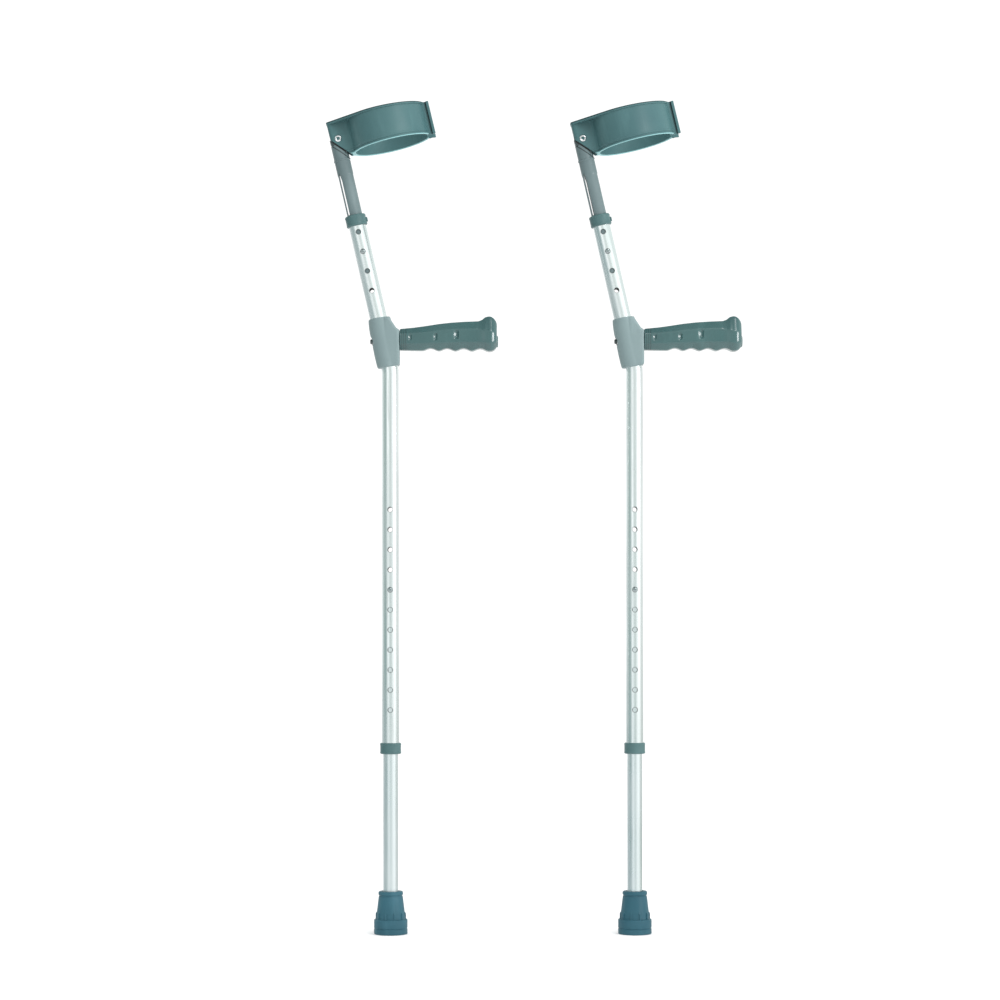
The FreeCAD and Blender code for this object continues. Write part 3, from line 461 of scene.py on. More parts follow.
def moulded(name, tint, shade, roughness, grain, depth, **sockets):
    """Mottled plastic or rubber; grain is in features a metre, its depth in mm."""
    made, tree, surface = new_material(name, **sockets)
    where = add(tree, "ShaderNodeTexCoord").outputs["Object"]
    mottle = cloud(tree, where, 14, 5)
    flow = cloud(tree, where, 60, 4, (1, 1, 0.25))
    rubbed = cloud(tree, where, 35, 6)
    colour = blended(tree, between(tree, mottle, 0, 1, 0.3, 0.7), shade, tint)
    streaks = between(tree, flow, 0, 0.35, 0.55, 0.75)
    colour = blended(tree, streaks, colour, scaled(tint, 1.35, 0.02))
    # Painted shade in creases and grooves, and a painted highlight on the cuff's bead, from
    # masks stored on the points.
    colour = blended(tree, stored(tree, "grime", "Fac"), colour, scaled(shade, 0.16))
    colour = blended(tree, stored(tree, "wear", "Fac"), colour, scaled(tint, 3.4, 0.08))
    tree.links.new(colour, surface.inputs["Base Color"])
    sheen = between(tree, rubbed, roughness * 0.82, roughness * 1.3)
    tree.links.new(sheen, surface.inputs["Roughness"])
    fine = cloud(tree, where, grain, 2)
    waves = cloud(tree, where, 90, 2)
    under = dented(tree, surface, waves, 0.05, 0.35)
    dented(tree, surface, fine, depth, 0.6, under)
    return made


def worked(tree, operation, *values):
    """A math node's result."""
    made = add(tree, "ShaderNodeMath", dict(enumerate(values)), operation=operation)
    return made.outputs[0]


def hole_rim_dirt_and_shade(tree, where, top, count):
    """How near a place is to the edge of a row of holes, from 0 to 1."""
    parts = add(tree, "ShaderNodeSeparateXYZ", {0: where}).outputs
    half_pitch = PITCH / 2 * MM
    drop = worked(tree, "SUBTRACT", parts["Z"], top * MM)
    nearest = worked(tree, "WRAP", drop, half_pitch, -half_pitch)
    across = worked(tree, "MULTIPLY", parts["X"], parts["X"])
    along = worked(tree, "MULTIPLY", nearest, nearest)
    away = worked(tree, "SQRT", worked(tree, "ADD", across, along))
    ring = between(tree, away, 1, 0, (HOLE + 0.2) * MM, (HOLE + 0.8) * MM)
    middle = worked(tree, "ADD", drop, (count - 1) * half_pitch)
    reach = worked(tree, "ABSOLUTE", middle)
    in_row = worked(tree, "LESS_THAN", reach, count * half_pitch)
    return worked(tree, "MULTIPLY", ring, in_row)


def drawn_metal(name, tint, roughness, rows=()):
    """Drawn, anodised tube: fine lines along it, scuffs, and a dark ring round its holes, partly
    dirt and partly painted shade.

    With rows of holes, its places are those that note_straight stores.
    """
    made, tree, surface = new_material(name, Metallic=1.0)
    if rows:
        where = stored(tree, "straight", "Vector")
    else:
        where = add(tree, "ShaderNodeTexCoord").outputs["Object"]
    lines = cloud(tree, where, 900, 2, (1, 1, 0.012))
    scuffs = cloud(tree, where, 260, 3, (1, 1, 0.05))
    dull = cloud(tree, where, 22, 5, (1, 1, 0.4))
    patches = between(tree, dull, 0, 0.5, 0.4, 0.75)
    colour = blended(tree, patches, tint, scaled(tint, 0.80))
    streaks = between(tree, scuffs, 0, 0.6, 0.62, 0.78)
    colour = blended(tree, streaks, colour, scaled(tint, 0.62))
    for top, count in rows:
        # A dark ring round each hole: partly dirt, partly painted shade at its edge.
        edge = hole_rim_dirt_and_shade(tree, where, top, count)
        colour = blended(tree, edge, colour, scaled(tint, 0.34))
    tree.links.new(colour, surface.inputs["Base Color"])
    rough = between(tree, dull, roughness * 0.8, roughness * 1.35)
    tree.links.new(rough, surface.inputs["Roughness"])
    dented(tree, surface, lines, 0.006, 0.5)
    return made


def plated(name, tint, roughness):
    """Plated or polished steel: faint cloudy sheen and fine pits."""
    made, tree, surface = new_material(name, Metallic=1.0)
    where = add(tree, "ShaderNodeTexCoord").outputs["Object"]
    cloudy = cloud(tree, where, 120, 4)
    colour = blended(tree, between(tree, cloudy, 0, 1), tint, scaled(tint, 0.82))
    tree.links.new(colour, surface.inputs["Base Color"])
    sheen = between(tree, cloudy, roughness * 0.7, roughness * 1.4)
    tree.links.new(sheen, surface.inputs["Roughness"])
    dented(tree, surface, cloud(tree, where, 400, 3), 0.01, 0.4)
    return made


TUBE = drawn_metal("tube_aluminium", (0.86, 0.90, 0.90), 0.24, HOLE_ROWS)
LEG_TUBE = drawn_metal("leg_aluminium", (0.84, 0.89, 0.90), 0.27)
FERRULE = moulded(
    "ferrule_rubber", (0.030, 0.118, 0.158), (0.018, 0.085, 0.118), 0.44, 700, 0.06,
    Specular_IOR_Level=0.35,
)
COLLAR = moulded(
    "collar_plastic", (0.072, 0.152, 0.155), (0.052, 0.120, 0.125), 0.36, 900, 0.03
)
UPRIGHT = moulded(
    "upright_plastic", (0.142, 0.198, 0.206), (0.110, 0.160, 0.169), 0.40, 900, 0.03
)
CUFF = moulded(
    "cuff_plastic", (0.077, 0.172, 0.178), (0.058, 0.138, 0.148), 0.40, 1100, 0.015,
    Specular_IOR_Level=0.3,
)
HOUSING = moulded(
    "housing_plastic", (0.222, 0.300, 0.306), (0.182, 0.258, 0.268), 0.42, 900, 0.03
)
VINYL = moulded(
    "grip_vinyl", (0.040, 0.117, 0.117), (0.028, 0.088, 0.091), 0.38, 800, 0.010,
    Coat_Weight=0.75, Coat_Roughness=0.14,
)
PLUG = moulded(
    "plug_plastic", (0.085, 0.165, 0.165), (0.060, 0.130, 0.132), 0.20, 1100, 0.015,
    Coat_Weight=0.4, Coat_Roughness=0.1,
)
CORE = moulded("core_nylon", (0.09, 0.09, 0.09), (0.06, 0.06, 0.06), 0.5, 700, 0.05)
STEEL = plated("plated_steel", (0.86, 0.88, 0.89), 0.22)
BLACKED = plated("blacked_steel", (0.10, 0.12, 0.12), 0.42)
SPRING = plated("spring_steel", (0.50, 0.51, 0.53), 0.32)
BUTTON = plated("button_steel", (0.42, 0.47, 0.48), 0.20)


# ---- tubes ----

MAIN_RADIUS = 11.0
MAIN_BORE = 9.8
MAIN_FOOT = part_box("left_main_tube")[0].z / MM
MAIN_RISE = 198.3
BEND_RADIUS = 50.0
KNEE = BEND - BEND_RADIUS * math.tan(LEAN / 2)
SLIM_RADIUS = 9.5
LEG_BORE = 8.3
BOLT_HOLE = 3.3
LEG_BUTTON = centre("left_leg_button_front").z / MM
LEG_ENDS = [corner.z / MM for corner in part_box("left_leg_tube")]


def ahead_at(lean):
    """Which way is ahead, square to a tube that leans back."""
    return Vector((math.cos(lean), 0, math.sin(lean)))


def on_arm(rise, across=0.0):
    """A place on the upper tube, in the floor frame."""
    return Z * BEND + ARM_AXIS * rise + ahead_at(LEAN) * across


def main_stations():
    """Stations up the main tube: straight, round the bend, and up the arm."""
    straight, turns, upper = 40, 12, 20
    stations = [
        (Z * (MAIN_FOOT + (KNEE - MAIN_FOOT) * k / straight), X, Y)
        for k in range(straight)
    ]
    for k in range(turns + 1):
        right = ahead_at(LEAN * k / turns)
        stations.append((Z * KNEE + (right - X) * BEND_RADIUS, right, Y))
    bend_end = BEND - KNEE
    for k in range(1, upper + 1):
        rise = bend_end + (MAIN_RISE - bend_end) * k / upper
        stations.append((on_arm(rise), ahead_at(LEAN), Y))
    return stations


def leg_radial(spot):
    """Away from the leg's axis, at a spot on a straight tube round it."""
    return Vector((spot.x, spot.y, 0)).normalized()


def main_radial(spot):
    """Away from the main tube's axis, at a spot on it."""
    if spot.z <= KNEE:
        return leg_radial(spot)
    hub = Vector((-BEND_RADIUS, 0, KNEE))
    from_hub = spot - hub
    from_hub.y = 0
    turn = math.atan2(from_hub.z, from_hub.x)
    if turn < LEAN:
        axis_spot = hub + from_hub.normalized() * BEND_RADIUS
        return (spot - axis_spot).normalized()
    from_bend = spot - Z * BEND
    return (from_bend - ARM_AXIS * from_bend.dot(ARM_AXIS)).normalized()


def note_straight(mesh):
    """Store each point's place in metres, as if the tube were straight."""
    note = mesh.attributes.new("straight", "FLOAT_VECTOR", "POINT")
    back = Matrix.Rotation(LEAN, 4, "Y")
    pivot = Z * BEND
    for point, entry in zip(mesh.vertices, note.data):
        spot = point.co
        if spot.z > pivot.z:
            spot = pivot + back @ (spot - pivot)
        entry.vector = spot * MM


def button_drill(spot):
    """A cutter for the holes of a pair of snap buttons, through both walls."""
    return rod("drill", HOLE, spot - Y * 20, spot + Y * 20)


def make_main_tube():
    """The bent main tube with its rows of holes and the bolt's hole."""
    tube = pipe("main_tube_shell", main_stations(), MAIN_RADIUS, MAIN_BORE)
    drills = [button_drill(Z * (LEG_HOLE_TOP - k * PITCH)) for k in range(LEG_HOLES)]
    drills += [button_drill(on_arm(ARM_HOLE_TOP - k * PITCH)) for k in range(ARM_HOLES)]
    drills.append(rod("drill", BOLT_HOLE, (-40, 0, HANDLE), (20, 0, HANDLE)))
    cut(tube, gather(drills))
    polish(tube, main_radial)
    note_straight(tube.data)
    place(tube, "floor", "frames", ["main_tube"], TUBE)


def make_leg_tube():
    """The slim tube that slides in the main tube."""
    low, high = LEG_ENDS
    tube = turned("leg_tube_shell", rounded([
        (LEG_BORE, low, 0.3), (SLIM_RADIUS, low, 0.4),
        (SLIM_RADIUS, high, 0.4), (LEG_BORE, high, 0.3),
    ]))
    cut(tube, button_drill(Z * LEG_BUTTON))
    polish(tube, leg_radial)
    place(tube, "floor", "{side}_leg", ["leg_tube"], LEG_TUBE)


# ---- ferrule and collars ----

def make_ferrule():
    """The rubber foot: two ring grooves below, ribs under its skirt, a mouth bead."""
    deep = 1.6
    profile = [(0, 0, 0)]
    for start, end in ((6.0, 8.0), (12.0, 14.0)):
        profile += [(start, 0, 0), (start, deep, 0)]
        profile += [(end, deep, 0), (end, 0, 0)]
    profile += [
        (20.6, 0, 0.5), (21.3, 0.9, 0.4), (21.3, 6.6, 0.15), (20.7, 7.1, 0.15),
        (20.7, 7.8, 0.15), (21.3, 8.3, 0.15), (21.3, 18.8, 1.2), (18.4, 19.3, 0.5),
        (18.0, 26.0, 3.0), (15.4, 47.6, 0.4), (14.7, 48.6, 0.3), (14.7, 49.2, 0.3),
        (15.7, 50.2, 0.3), (15.6, 53.4, 0.9), (14.4, 54.4, 0.5), (11.2, 54.4, 0.5),
        (9.55, 52.8, 0.4), (9.55, 8.0, 0), (0, 8.0, 0),
    ]
    foot = turned("ferrule_tip", rounded(profile), 128)
    ribs = 10
    # A small shift keeps each rib's faces out of line with the foot's.
    for k in range(ribs):
        rib = across_block("rib", rounded([
            (14.0, 17.0, 0), (19.3, 17.0, 0), (19.2, 26.2, 0.7), (17.2, 29.0, 0.7),
            (14.0, 31.0, 0),
        ]), 1.2, 0.4)
        rib.data.transform(
            Matrix.Rotation(2 * math.pi * k / ribs, 4, "Z")
            @ Matrix.Translation((0.013, 0, 0.017 * (k + 1)))
        )
        fuse(foot, rib)
    place(foot, "floor", "{side}_leg", ["ferrule"], FERRULE)


def collar():
    """One end collar, its lip at Z = 0 and its lug towards +X."""
    ring = turned("collar", rounded([
        (9.75, 0, 0.3), (12.5, 0, 0.5), (13.4, 1.3, 0.5), (13.4, 2.6, 0.2),
        (13.15, 2.9, 0.2), (13.15, 11.2, 0.2), (13.4, 11.5, 0.2), (13.4, 12.9, 0.7),
        (12.4, 14.0, 0.5), (11.05, 14.0, 0.3), (11.05, 2.5, 0), (9.75, 2.5, 0),
    ], 3))
    lug = block("lug", rounded([
        (11.5, -2.5, 0), (14.8, -2.5, 0.8), (14.8, 2.5, 0.8), (11.5, 2.5, 0),
    ]), 4.9, 10.5, 0.5)
    return fuse(ring, lug)


def make_collars():
    """The collars at both ends of the main tube, the upper one upside down."""
    leg_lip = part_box("left_leg_collar")[0].z / MM
    arm_lip = MAIN_RISE + 2.5
    for which, home, lip, turn in (
        ("leg", "floor", leg_lip, Matrix.Rotation(math.pi / 2, 4, "Z")),
        ("arm", "arm", arm_lip, Matrix.Rotation(math.pi, 4, "X")),
    ):
        ring = collar()
        ring.name = f"{which}_collar_ring"
        ring.data.transform(Matrix.Translation((0, 0, lip)) @ turn)
        place(ring, home, "frames", [f"{which}_collar"], COLLAR)


# ---- snap buttons ----

def make_buttons():
    """A snap button on each face of the leg and of the upright."""
    radius, foot, top = 3.0, 7.2, 13.2
    for which, home, height in (
        ("leg", "floor", LEG_BUTTON), ("arm", "arm", ARM_BUTTON_RISE),
    ):
        for face, way in (("front", 1), ("back", -1)):
            button = turned(f"{which}_button_{face}_cap", rounded([
                (0, foot, 0), (radius, foot, 0.2), (radius, 11.0, 0.2), (radius, top, 1.8),
                (0, top, 0),
            ], 6), 48)
            lay = Matrix.Rotation(way * math.pi / 2, 4, "X")
            button.data.transform(Matrix.Translation((0, 0, height)) @ lay)
            place(
                button, home, f"{{side}}_{which}_button_{face}",
                [f"{which}_button_{face}"], BUTTON,
            )


# ---- upright ----

RIVET_RISE = 299.5
RIVET_AHEAD = 1.5
CUFF_SLOPE = math.radians(47.0)
SEAM_SLOPE = CUFF_SLOPE - (CUFF_LEAN - LEAN)
SEAM_ENDS = (-30, 60)
SEAT_DROP = 7.5
NECK_DROP = 9.3
GROOVE_DROPS = (12.0, 13.0)
GROOVE_RADIUS = 9.2
TONGUE_RADIUS = 7.6
TONGUE_HALF = 7.4


def under_rivet(slope, drop, along):
    """A place along a slope through the rivet that falls ahead, and square under it."""
    return (
        along * math.cos(slope) - drop * math.sin(slope),
        -along * math.sin(slope) - drop * math.cos(slope),
    )


def below_seam(drop, along):
    """A place on the upright at a distance under the seam's slope."""
    across, up = under_rivet(SEAM_SLOPE, drop, along)
    return RIVET_AHEAD + across, RIVET_RISE + up


def seam_strip(near, far):
    """Outline of a slanted strip between two distances under the rivet."""
    back, front = SEAM_ENDS
    return [
        below_seam(near, back), below_seam(near, front),
        below_seam(far, front), below_seam(far, back),
    ]


def crevice_shade(spot):
    """Painted shade on the upright: in the gap under the cuff and in the groove below it."""
    across, up = spot.x - RIVET_AHEAD, spot.z - RIVET_RISE
    drop = -across * math.sin(SEAM_SLOPE) - up * math.cos(SEAM_SLOPE)
    if drop < NECK_DROP + 0.1 and abs(spot.y) < TONGUE_HALF + 0.2:
        return 1.0
    low, high = GROOVE_DROPS
    in_groove = low - 0.1 < drop < high + 0.1
    return 0.8 if in_groove and math.hypot(spot.x, spot.y) < GROOVE_RADIUS + 0.1 else 0.0


def make_upright():
    """The post that carries the cuff: slanted seat, hinge tongue and sprung strip."""
    piece = turned("upright_post", rounded([
        (0, 115, 0), (9.0, 115, 0), (9.6, 116, 0.3), (9.65, 252.2, 0.4),
        (10.1, 254.2, 0.4), (10.1, 271.4, 0.15), (10.8, 271.9, 0.2),
        (10.8, 273.4, 0.2), (10.1, 273.9, 0.15), (10.1, 316, 0), (0, 316, 0),
    ], 3))
    back, front = SEAM_ENDS
    above = 335
    seat = [below_seam(SEAT_DROP, back), below_seam(SEAT_DROP, front)]
    cut(piece, across_block("seat", seat + [(front, above), (back, above)], 20))
    # Room beside the tongue and behind it, for the cuff's bracket when it tilts.
    heel = RIVET_AHEAD - 7.5
    corner = [
        (-16, RIVET_RISE - 8), (heel, RIVET_RISE - 8),
        (heel, RIVET_RISE + 9), (-16, RIVET_RISE + 9),
    ]
    side = 3.0
    for way in (-1, 1):
        beside = way * (TONGUE_HALF + side)
        neck = across_block("neck", seam_strip(3, NECK_DROP), side, 0, beside)
        cut(piece, neck, across_block("corner", corner, 1.6, 0, way * 6.9))
    groove = across_block("groove", seam_strip(*GROOVE_DROPS), 20)
    core = turned("core", [
        (0, 200), (GROOVE_RADIUS, 200), (GROOVE_RADIUS, 400), (0, 400),
    ])
    cut(piece, cut(groove, core))
    behind = RIVET_AHEAD - TONGUE_RADIUS
    root = RIVET_RISE - 22
    tongue = arc(RIVET_AHEAD, RIVET_RISE, TONGUE_RADIUS, -30, 200, 32)
    tongue += [(behind, RIVET_RISE - 8), (behind, root), (RIVET_AHEAD + 6.6, root)]
    fuse(piece, across_block("tongue", tongue, TONGUE_HALF, 0.5))
    slot = rounded([
        (-7.7, 202, 0.5), (-5.9, 202, 0.5), (-5.9, 246, 3), (-7.2, 255.5, 0.3),
        (-7.7, 255.5, 0.2),
    ])
    cut(piece, across_block("slot", slot, 15))
    pocket = [(-3.5, -7.7), (3.5, -7.7), (3.5, 7.7), (-3.5, 7.7)]
    cut(piece, block("pocket", pocket, 110, 199, 0.1, 1))
    cut(piece, button_drill(Z * ARM_BUTTON_RISE))
    # Painted shade in the gap under the cuff and in the groove below it.
    store_painted_light(piece, crevice_shade)
    place(piece, "arm", "{side}_arm", ["upright"], UPRIGHT)


# ---- cuff ----

RING = 50.0
RING_WALL = 2.6
RING_AHEAD = 65.0
SLIT = 12.5
BRACKET_HALF = 10.3
BRACKET_BACK = -10.5
FLARE = 7.0
BAND_END = 114.4
CREASE = (115.5, 117.7)
BAND_HIGH = 20.5
LIP_BACK = 112.4


def lip_turn(radius, half):
    """Angle on a circle at a distance from its middle line, in degrees."""
    return math.degrees(math.asin(half / radius))


def mirrored(half, inner):
    """Closed outline from its upper half's outer and inner runs of points."""
    outer = half + [(x, -y) for x, y in reversed(half)]
    return outer + [(x, -y) for x, y in reversed(inner)] + inner[1:]


def cuff_inside():
    """Inner run of the cuff's plan, from the back to the end of the band."""
    radius = RING - RING_WALL
    points = arc(RING_AHEAD, 0, radius, 180, lip_turn(radius, SLIT), 90)
    return points + [(BAND_END, SLIT + 0.3)]


def cuff_outline():
    """Plan of the cuff: a split ring with a bracket behind it; and bead weights."""
    lift = BRACKET_HALF + FLARE
    reach = math.sqrt((RING + FLARE) ** 2 - lift ** 2)
    meet = lip_turn(RING + FLARE, lift)
    corner = 6.0
    back = BRACKET_BACK + corner
    outside = SLIT + RING_WALL - 0.3
    half = [(BAND_END, outside), (BAND_END - 1, outside)]
    weights = [0.0] * len(half)
    first = lip_turn(RING, SLIT + RING_WALL) + 1.2
    half += arc(RING_AHEAD, 0, RING, first, 180 - meet, 72)
    half += arc(RING_AHEAD - reach, lift, FLARE, -meet, -90, 10)[1:]
    half += arc(back, BRACKET_HALF - corner, corner, 90, 180, 8)
    weights += [1.0] * (len(half) - len(weights))
    inside = cuff_inside()
    outline = mirrored(half, inside)
    return outline, weights + weights[::-1] + [0.0] * (len(outline) - 2 * len(half))


def flange_outline():
    """Plan of the top rim, which runs straight from the ring to the back corners."""
    radius = RING + 1.1
    corner = 5.0
    heel = (BRACKET_BACK - 0.4 + corner, BRACKET_HALF + 0.4 - corner)
    span = math.hypot(RING_AHEAD - heel[0], heel[1])
    aim = math.degrees(math.atan2(heel[1], heel[0] - RING_AHEAD))
    leave = aim - math.degrees(math.acos((radius - corner) / span))
    outside = SLIT + RING_WALL
    first = lip_turn(radius, outside) + 1.0
    half = [(BAND_END, outside - 0.2), (BAND_END - 0.8, outside + 0.1)]
    half += arc(RING_AHEAD, 0, radius, first, leave, 60)
    half += arc(*heel, corner, leave, 180, 10)
    return mirrored(half, cuff_inside())


def tilt_rim(piece):
    """Make the band a little taller at the back than at the front."""
    at_back, fall = 2.9, 0.033
    for point in piece.data.vertices:
        part = max(0.0, point.co.z) / BAND_HIGH
        point.co.z += part * (at_back - fall * (point.co.x - BRACKET_BACK))


# The band's levels: height, offset from the plan, and how far its bead stands out.
CUFF_LEVELS = [
    (-22.5, -1.0, 1.0), (-22.0, -0.45, 1.0), (-21.5, -0.1, 1.0), (-21.2, 0, 1.0),
    (-20.8, 0, 1.0), (-20.3, 0, 0.85), (-20.0, 0, 0.4), (-19.8, 0, 0.05),
    (-19.2, 0, 0.0), (-18.8, 0, 0.35), (-18.0, 0, 0.5), (-17.0, 0, 0.45),
    (-16.4, 0, 0.1), (-16.0, 0, 0.0), (19.0, 0, 0.0),
]
FLANGE_LEVELS = [
    (17.6, -0.5, 0), (17.8, -0.1, 0), (18.1, 0, 0), (19.2, 0, 0), (19.3, -0.5, 0),
    (19.7, -0.5, 0), (19.8, 0, 0), (20.3, 0, 0), (20.5, -0.25, 0),
]


def crease_shade(spot):
    """Painted shade on the cuff: in the crease of its lips, and along its top edge."""
    if CREASE[0] < spot.x < CREASE[1] and abs(spot.y) < SLIT + 1.8:
        return 1.0
    return 0.55 if spot.z > 19.6 and spot.x < LIP_BACK else 0.0


def bead_highlight(spot):
    """Painted highlight on the cuff: along the bottom edge of its bead."""
    return 0.75 if spot.z < -21.9 and 12 < spot.x < LIP_BACK else 0.0


def make_cuff():
    """The split ring with its lips, top rim and hinge bracket."""
    outline, weights = cuff_outline()
    piece = stacked("cuff_ring", outline, CUFF_LEVELS, weights)
    for way in (-1, 1):
        lip = rounded([
            (112.6, SLIT, 0.5), (120.7, SLIT, 0.8), (121.7, SLIT + 4.6, 0.8),
            (118.1, SLIT + 4.2, 0.5), (117.6, SLIT + 1.5, 0.3), (115.2, SLIT + 1.5, 0.3),
            (115.0, SLIT + RING_WALL + 0.1, 0.4), (112.6, SLIT + RING_WALL, 0.5),
        ])
        fuse(piece, block("lip", [(x, way * y) for x, y in lip], -23.2, 19.9, 0.3))
    fuse(piece, stacked("flange", flange_outline(), FLANGE_LEVELS))
    hollow = rounded([
        (-8.4, -7.7, 0.7), (13.5, -7.7, 0.8), (13.5, 7.7, 0.8), (-8.4, 7.7, 0.7),
    ])
    cut(piece, block("hollow", hollow, -40, 18.1, 0.5))
    upper, lower = [under_rivet(CUFF_SLOPE, 7.0, along) for along in (-20, 45)]
    bottom = lower[1] - 12
    cut(piece, across_block("slant", [
        lower, (lower[0], bottom), (upper[0], bottom), upper,
    ], 14))
    heel = [(-16, -23), (-7.8, -23), (-7.8, 4.6), (-16, 4.6)]
    cut(piece, across_block("heel", heel, 5.4))
    # Painted shade in the lips' crease and along the top edge.
    store_painted_light(piece, crease_shade)
    # Painted highlight along the bottom edge of the bead.
    store_painted_light(piece, bead_highlight, "wear")
    tilt_rim(piece)
    place(piece, "cuff", "{side}_cuff", ["cuff"], CUFF)


def washer(name, hole, radius, back, front, edge):
    """A flat washer between two heights."""
    return turned(name, rounded([
        (hole, back, 0), (radius, back, edge), (radius, front, edge), (hole, front, 0),
    ]), 64)


def make_rivet():
    """The hinge pin through both cheeks, and the washer under its tail."""
    rivet = turned("rivet_pin", rounded([
        (0, 9.4, 0), (1.5, 9.4, 0.2), (1.9, 11.6, 0.4), (3.0, 12.5, 0.8),
        (4.3, 11.4, 0.8), (4.6, 10.32, 0.2), (2.5, 10.3, 0), (2.5, -11.1, 0),
        (3.9, -11.1, 0.2), (3.7, -12.0, 0.5), (2.4, -12.4, 0.4), (0, -12.4, 0),
    ]), 64)
    rivet.data.transform(LAY)
    place(rivet, "cuff", "{side}_cuff", ["cuff_rivet"], STEEL)
    ring = washer("rivet_washer_ring", 2.5, 5.2, -11.1, -10.3, 0.2)
    ring.data.transform(LAY)
    place(ring, "cuff", "{side}_cuff", ["rivet_washer"], STEEL)


# ---- handle ----

# Along the upper tube: rise, and how far the sleeve reaches behind and ahead.
SLEEVE = [
    (4.2, 13.9, 11.4), (4.7, 14.6, 12.0), (6.0, 15.2, 12.4), (9.0, 15.5, 12.6),
    (22.0, 15.6, 12.6), (32.0, 15.3, 12.8), (44.0, 15.1, 13.4), (52.0, 14.9, 14.2),
    (58.0, 14.3, 14.8), (63.0, 13.7, 15.2), (66.0, 13.1, 15.1), (67.0, 12.5, 14.4),
]
HOUSING_HALF = 13.8
VOXEL = 0.5
CORE_RADIUS = 8.0
WASHER_BACK = -21.8
WASHER_FRONT = -20.8


def make_housing():
    """The sleeve round the bend, and the cheeks that the grip is seated in."""
    rings = []
    rim_slope = 0.055
    for rise, rear, front in SLEEVE:
        slope = rim_slope * rise / SLEEVE[-1][0]
        ring = []
        for across, depth in circle(1, ROUND):
            away = across * (front if across > 0 else rear)
            ring.append(on_arm(rise - slope * away, away) + Y * depth * HOUSING_HALF)
        rings.append(ring)
    sleeve = skin("housing_body", rings)
    outline = rounded([
        (-6.5, 718.4, 0), (12.1, 721.8, 3.1), (12.1, 766.4, 2.6), (8.0, 768.8, 5),
        (-1.4, 783.0, 2.6), (-8.0, 782.8, 0),
    ])
    fuse(sleeve, across_block("cheeks", outline, 13.4, 2.5))
    melt(sleeve, VOXEL, 30)
    bore = rod("bore", MAIN_RADIUS + 0.02, on_arm(-20), on_arm(90), ROUND)
    cut(sleeve, bore)
    cut(sleeve, rod("seat", 6.6, (-40, 0, HANDLE), (WASHER_FRONT, 0, HANDLE)))
    cut(sleeve, rod("socket", CORE_RADIUS, (0, 0, HANDLE), (20, 0, HANDLE), 64))
    place(
        sleeve, "floor", "frames", ["handle_housing"], HOUSING,
        math.radians(50),
    )


def make_bolt():
    """The bolt from behind the main tube, and the washer under its head."""
    bolt = turned("bolt_body", rounded([
        (0, -24.1, 0), (1.4, -24.1, 0), (1.4, -25.4, 0.2), (2.4, -25.3, 0.5),
        (3.1, -24.2, 0.5), (3.3, -22.8, 0.3), (5.2, -22.5, 0.2), (5.2, WASHER_BACK, 0.1),
        (3.0, WASHER_BACK, 0), (3.0, 45.0, 0), (2.0, 46.0, 0), (0, 46.0, 0),
    ]), 64)
    place(bolt, "handle", "frames", ["handle_bolt"], BLACKED)
    ring = washer("bolt_washer", 3.0, 6.2, WASHER_BACK, WASHER_FRONT, 0.3)
    place(ring, "handle", "frames", ["handle_washer"], STEEL)


# Along the grip: ahead of the leg, underside, top and half depth.
GRIP = [
    (12.2, 741.4, 767.0, 12.6), (13.2, 740.8, 767.9, 13.2), (30.0, 740.4, 769.4, 13.4),
    (45.0, 740.2, 771.4, 14.0), (62.0, 740.0, 774.0, 14.8), (78.0, 739.9, 775.7, 15.5),
    (96.0, 739.8, 776.8, 16.0), (112.0, 739.6, 777.3, 16.5), (116.5, 739.7, 779.0, 17.0),
    (120.5, 739.6, 782.3, 17.9), (125.5, 739.1, 783.5, 18.5), (128.2, 739.3, 783.0, 18.5),
    (128.8, 739.4, 782.8, 18.4), (132.0, 740.8, 780.6, 16.6), (134.4, 743.2, 777.4, 14.2),
    (135.6, 746.2, 774.0, 11.8),
]
FINGER_PITCH = 20.9
FINGER_FIRST = 51.4
FINGERS = 4
FINGER_DEEP = 2.9
# Dimples in the grip's sides: ahead, up and radius.
DIMPLES = ((24.6, 756.7, 4.2), (56.7, 757.2, 4.8), (82.9, 760.0, 6.0))


def along_grip(ahead):
    """Underside, top and half depth of the grip at a station, eased between."""
    for before, after in zip(GRIP, GRIP[1:]):
        if before[0] <= ahead <= after[0] + 1e-9:
            part = (ahead - before[0]) / (after[0] - before[0])
            return [a + (b - a) * part for a, b in zip(before[1:], after[1:])]
    raise ValueError(ahead)


def even(points, count):
    """The same closed outline with evenly spaced points, from the same start."""
    loop = [Vector(p) for p in points] + [Vector(points[0])]
    lengths = [0.0]
    for a, b in zip(loop, loop[1:]):
        lengths.append(lengths[-1] + (b - a).length)
    spaced = []
    k = 0
    for i in range(count):
        want = lengths[-1] * i / count
        while lengths[k + 1] < want:
            k += 1
        part = (want - lengths[k]) / max(1e-9, lengths[k + 1] - lengths[k])
        spaced.append(loop[k].lerp(loop[k + 1], part))
    return spaced


def finger_dip(ahead):
    """Depth of the finger grooves under the grip, 0 on a bump and 1 in a groove."""
    nearest = min(
        abs(ahead - FINGER_FIRST - k * FINGER_PITCH) for k in range(FINGERS)
    )
    reach = FINGER_PITCH * 0.47
    if nearest >= reach:
        return 0.0
    return math.cos(nearest / reach * math.pi / 2) ** 1.5


def ring_groove(ahead):
    """Depth of the fine grooves round the grip's root."""
    nearest = min(abs(ahead - groove) for groove in (14.6, 17.2, 19.8))
    return 0.8 * max(0.0, 1 - (nearest / 0.9) ** 2)


def dimple_depth(ahead, up, radius):
    """Depth of a dimple: a slanting face that ends at a steep one."""
    face = min(0.62 * (ahead + 0.45 * radius), 1.6 * (0.75 * radius - ahead))
    return max(0.0, face) * max(0.0, 1 - (up / radius) ** 4)


